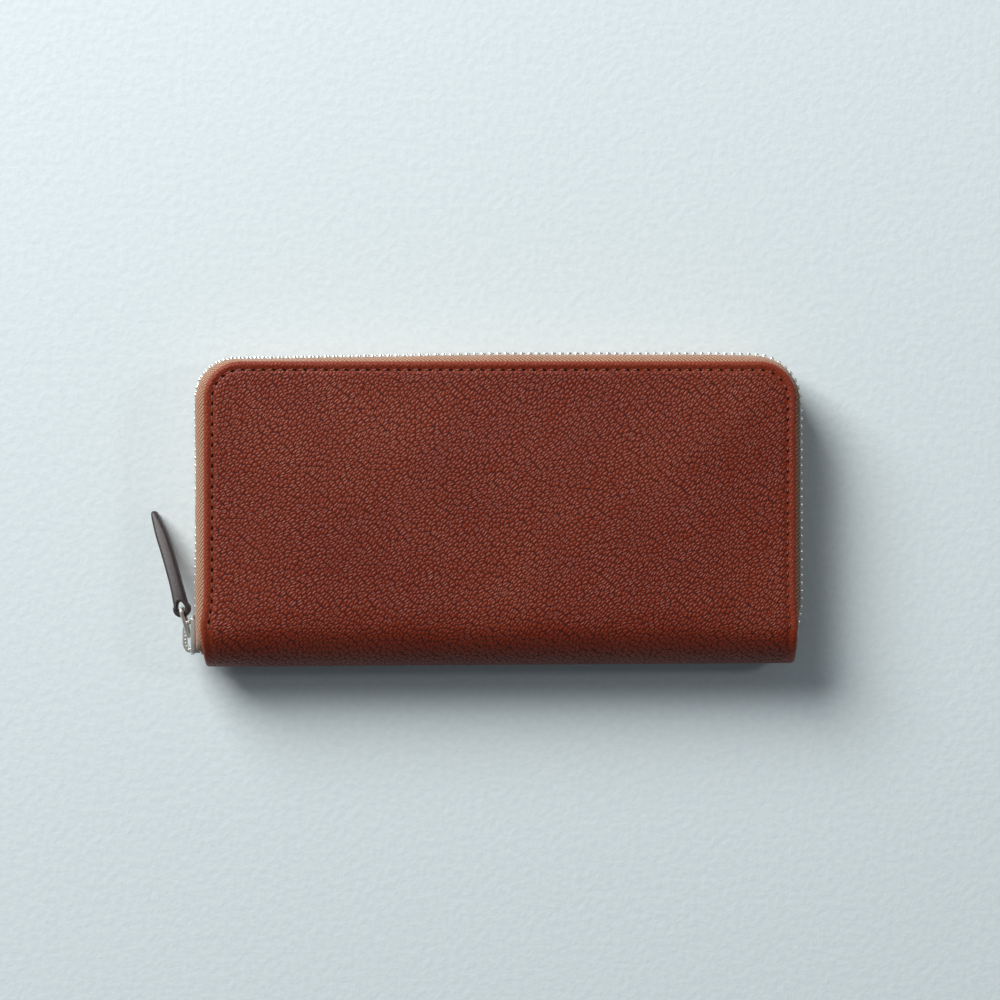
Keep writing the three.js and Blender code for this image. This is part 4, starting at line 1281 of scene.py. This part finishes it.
# %% The gussets
GUSSET_HALF = 0.2
for way, node_name in ((-1, "gusset_left"), (1, "gusset_right")):
    low, high = box_mm(node_name)
    deep = high[0] - low[0] - 1.0
    outer_x = max(abs(low[0]), abs(high[0])) - 0.4
    tall = (high[2] - low[2]) / 2 - 0.1
    folds = [(0, tall), (-0.5, tall - 0.9), (-1.9, tall - 1.85), (-deep * 0.5, tall - 2.6)]
    folds += [(-deep, tall - 3.55), (-deep * 0.5, tall - 4.6), (-1.9, tall - 5.1), (-0.3, tall - 6.0)]
    folds = folds + [(x, -h) for x, h in folds[::-1]]
    middle = smooth_line([(way * (outer_x + x), h, 0) for x, h in folds], 5)
    middle = np.array([(p.x, p.y) for p in middle])
    ahead = np.gradient(middle, axis=0)
    ahead /= np.linalg.norm(ahead, axis=1)[:, None]
    normal = np.stack([-ahead[:, 1], ahead[:, 0]], axis=1)
    arc = np.concatenate([[0], np.cumsum(np.linalg.norm(np.diff(middle, axis=0), axis=1))])
    grid = [[], [], []]
    for y in hollow_steps(high[1] - low[1], (0, 0.15, 0.5, 1.2), 3.0) + low[1]:
        for rows, face in zip(grid[:2], (GUSSET_HALF, -GUSSET_HALF)):
            rows.append([(x, y, MID_Z + h) for x, h in middle + normal * face])
        grid[2].append([(a, y) for a in arc])
    mesh = sheet_mesh(node_name + "_leather", *(np.array(g) for g in grid))
    fold = put_in_scene(node_name + "_leather", mesh, inner_leather)
    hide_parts(node_name)
    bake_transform(fold)
    print(node_name, len(mesh.polygons), "faces")

# %% [markdown]
# ## The coin pocket
#
# Two leather walls are bound together along the sides and the base, and a small zip closes the top.
# It hangs between the two bill compartments and swings half as far as the front cover.

# %% Walls, bindings and tapes
for side, name in ((FRONT, "front"), (BACK, "back")):
    near, far, low, high = heights("coin_wall_" + name, side)
    grid = panel_grid(high[0], low[1], high[1], -far, -far, far - near, -side, hem=0.1)
    mesh = sheet_mesh("coin_wall_" + name + "_leather", *grid)
    put_in_scene(mesh.name, mesh, inner_leather, "coin_pocket", ["coin_wall_" + name])
    face = MID_Z + side * (far + 0.01)
    x, y0, y1 = high[0] - 1.6, low[1] + 1.6, high[1] - 2.2
    line = [(-x, y, face) for y in np.linspace(y1, y0, 40)]
    line += [(v, y0, face) for v in np.linspace(-x, x, 90)]
    line += [(x, y, face) for y in np.linspace(y0, y1, 40)]
    mouth = [(v, y1, face) for v in np.linspace(-x + 2, x - 2, 90)]
    stitch = facing(small_stitch, side)
    mesh = repeat_along("coin_stitches_" + name, [line, mouth], stitch, 2.4, thread_finish, 0.04, seed=17)
    put_in_scene(mesh.name, mesh, None, "coin_pocket")
    tape_near, tape_far, low, high = heights("coin_zip_tape_" + name, side)
    grid = panel_grid(high[0], low[1], high[1], tape_near, tape_near, tape_far - tape_near, side)
    mesh = sheet_mesh("coin_tape_" + name + "_cloth", *grid)
    put_in_scene(mesh.name, mesh, zip_tape, "coin_pocket", ["coin_zip_tape_" + name])
    teeth_low, teeth_high = box_mm("coin_zip_teeth_" + name)
    centre_y = (teeth_low[1] + teeth_high[1]) / 2
    start = teeth_low[0] + (1.0 if side == FRONT else 0.0)
    line = [(v, centre_y, MID_Z) for v in np.arange(start, teeth_high[0], 1.0)]
    tooth = tooth_mesh("coin_tooth", side, half_thick=0.75, scale=0.52)
    mesh = repeat_along("coin_teeth_" + name + "_row", [line], tooth, 2.0, nickel)
    put_in_scene(mesh.name, mesh, None, "coin_pocket", ["coin_zip_teeth_" + name])
for part in ("left", "right", "base"):
    node_name = "coin_binding_" + part
    round_off(node_name, node_name + "_strip", "coin_pocket", inner_leather, 0.25)
round_off("coin_zip_slider", "coin_slider_shell", "coin_zip_slider", nickel, 0.15)
round_off("coin_zip_pull", "coin_pull_tab", "coin_zip_pull", nickel, 0.16)

# %% [markdown]
# ## The table and the light
#
# The wallet lies on plain pale paper. One large soft light stands at the upper left and throws the
# shadow to the lower right. A small card at the right gives the metal its glints on that side, and the
# surroundings give the rest.

# %% The table
bpy.ops.mesh.primitive_plane_add(size=6, location=(0, 0, 0))
table = bpy.context.object
table.name = "table"
paper, tree, shader = new_finish("pale_paper")
spot = node(tree, "ShaderNodeTexCoord").outputs["Object"]
fibre = node(tree, "ShaderNodeTexNoise", {"Vector": spot, "Scale": 420.0, "Detail": 4.0})
shade = ramp(tree, fibre.outputs["Fac"], 0.3, 0.7)
tint = colour_mix(tree, shade, srgb(214, 226, 230), srgb(219, 230, 233))
finish_with(tree, shader, tint, None, fibre.outputs["Fac"], depth=0.16)
shader.inputs["Roughness"].default_value = 0.95
table.data.materials.append(paper)

# %% The light
WINDOW = Vector((-0.95, 1.25, 1.15))
AIMED_AT = Vector((0.45, 0.1, 0.0))
window = bpy.data.lights.new("window", "AREA")
window.shape = "RECTANGLE"
window.size, window.size_y = 1.2, 1.1
window.energy = 56
window.color = (1.0, 0.985, 0.965)
lamp = bpy.data.objects.new("window", window)
lamp.location = WINDOW
lamp.rotation_euler = (AIMED_AT - WINDOW).to_track_quat("-Z", "Y").to_euler()
bpy.context.scene.collection.objects.link(lamp)
card = bpy.data.lights.new("card", "AREA")
card.size = 0.12
card.energy = 0.9
reflector = bpy.data.objects.new("card", card)
reflector.location = (0.8, 0.15, 0.75)
reflector.rotation_euler = (-reflector.location).to_track_quat("-Z", "Y").to_euler()
bpy.context.scene.collection.objects.link(reflector)
room = bpy.data.worlds.new("room")
room.use_nodes = True
room.node_tree.nodes["Background"].inputs["Color"].default_value = (0.8, 0.92, 1.0, 1.0)
room.node_tree.nodes["Background"].inputs["Strength"].default_value = 0.13
bpy.context.scene.world = room
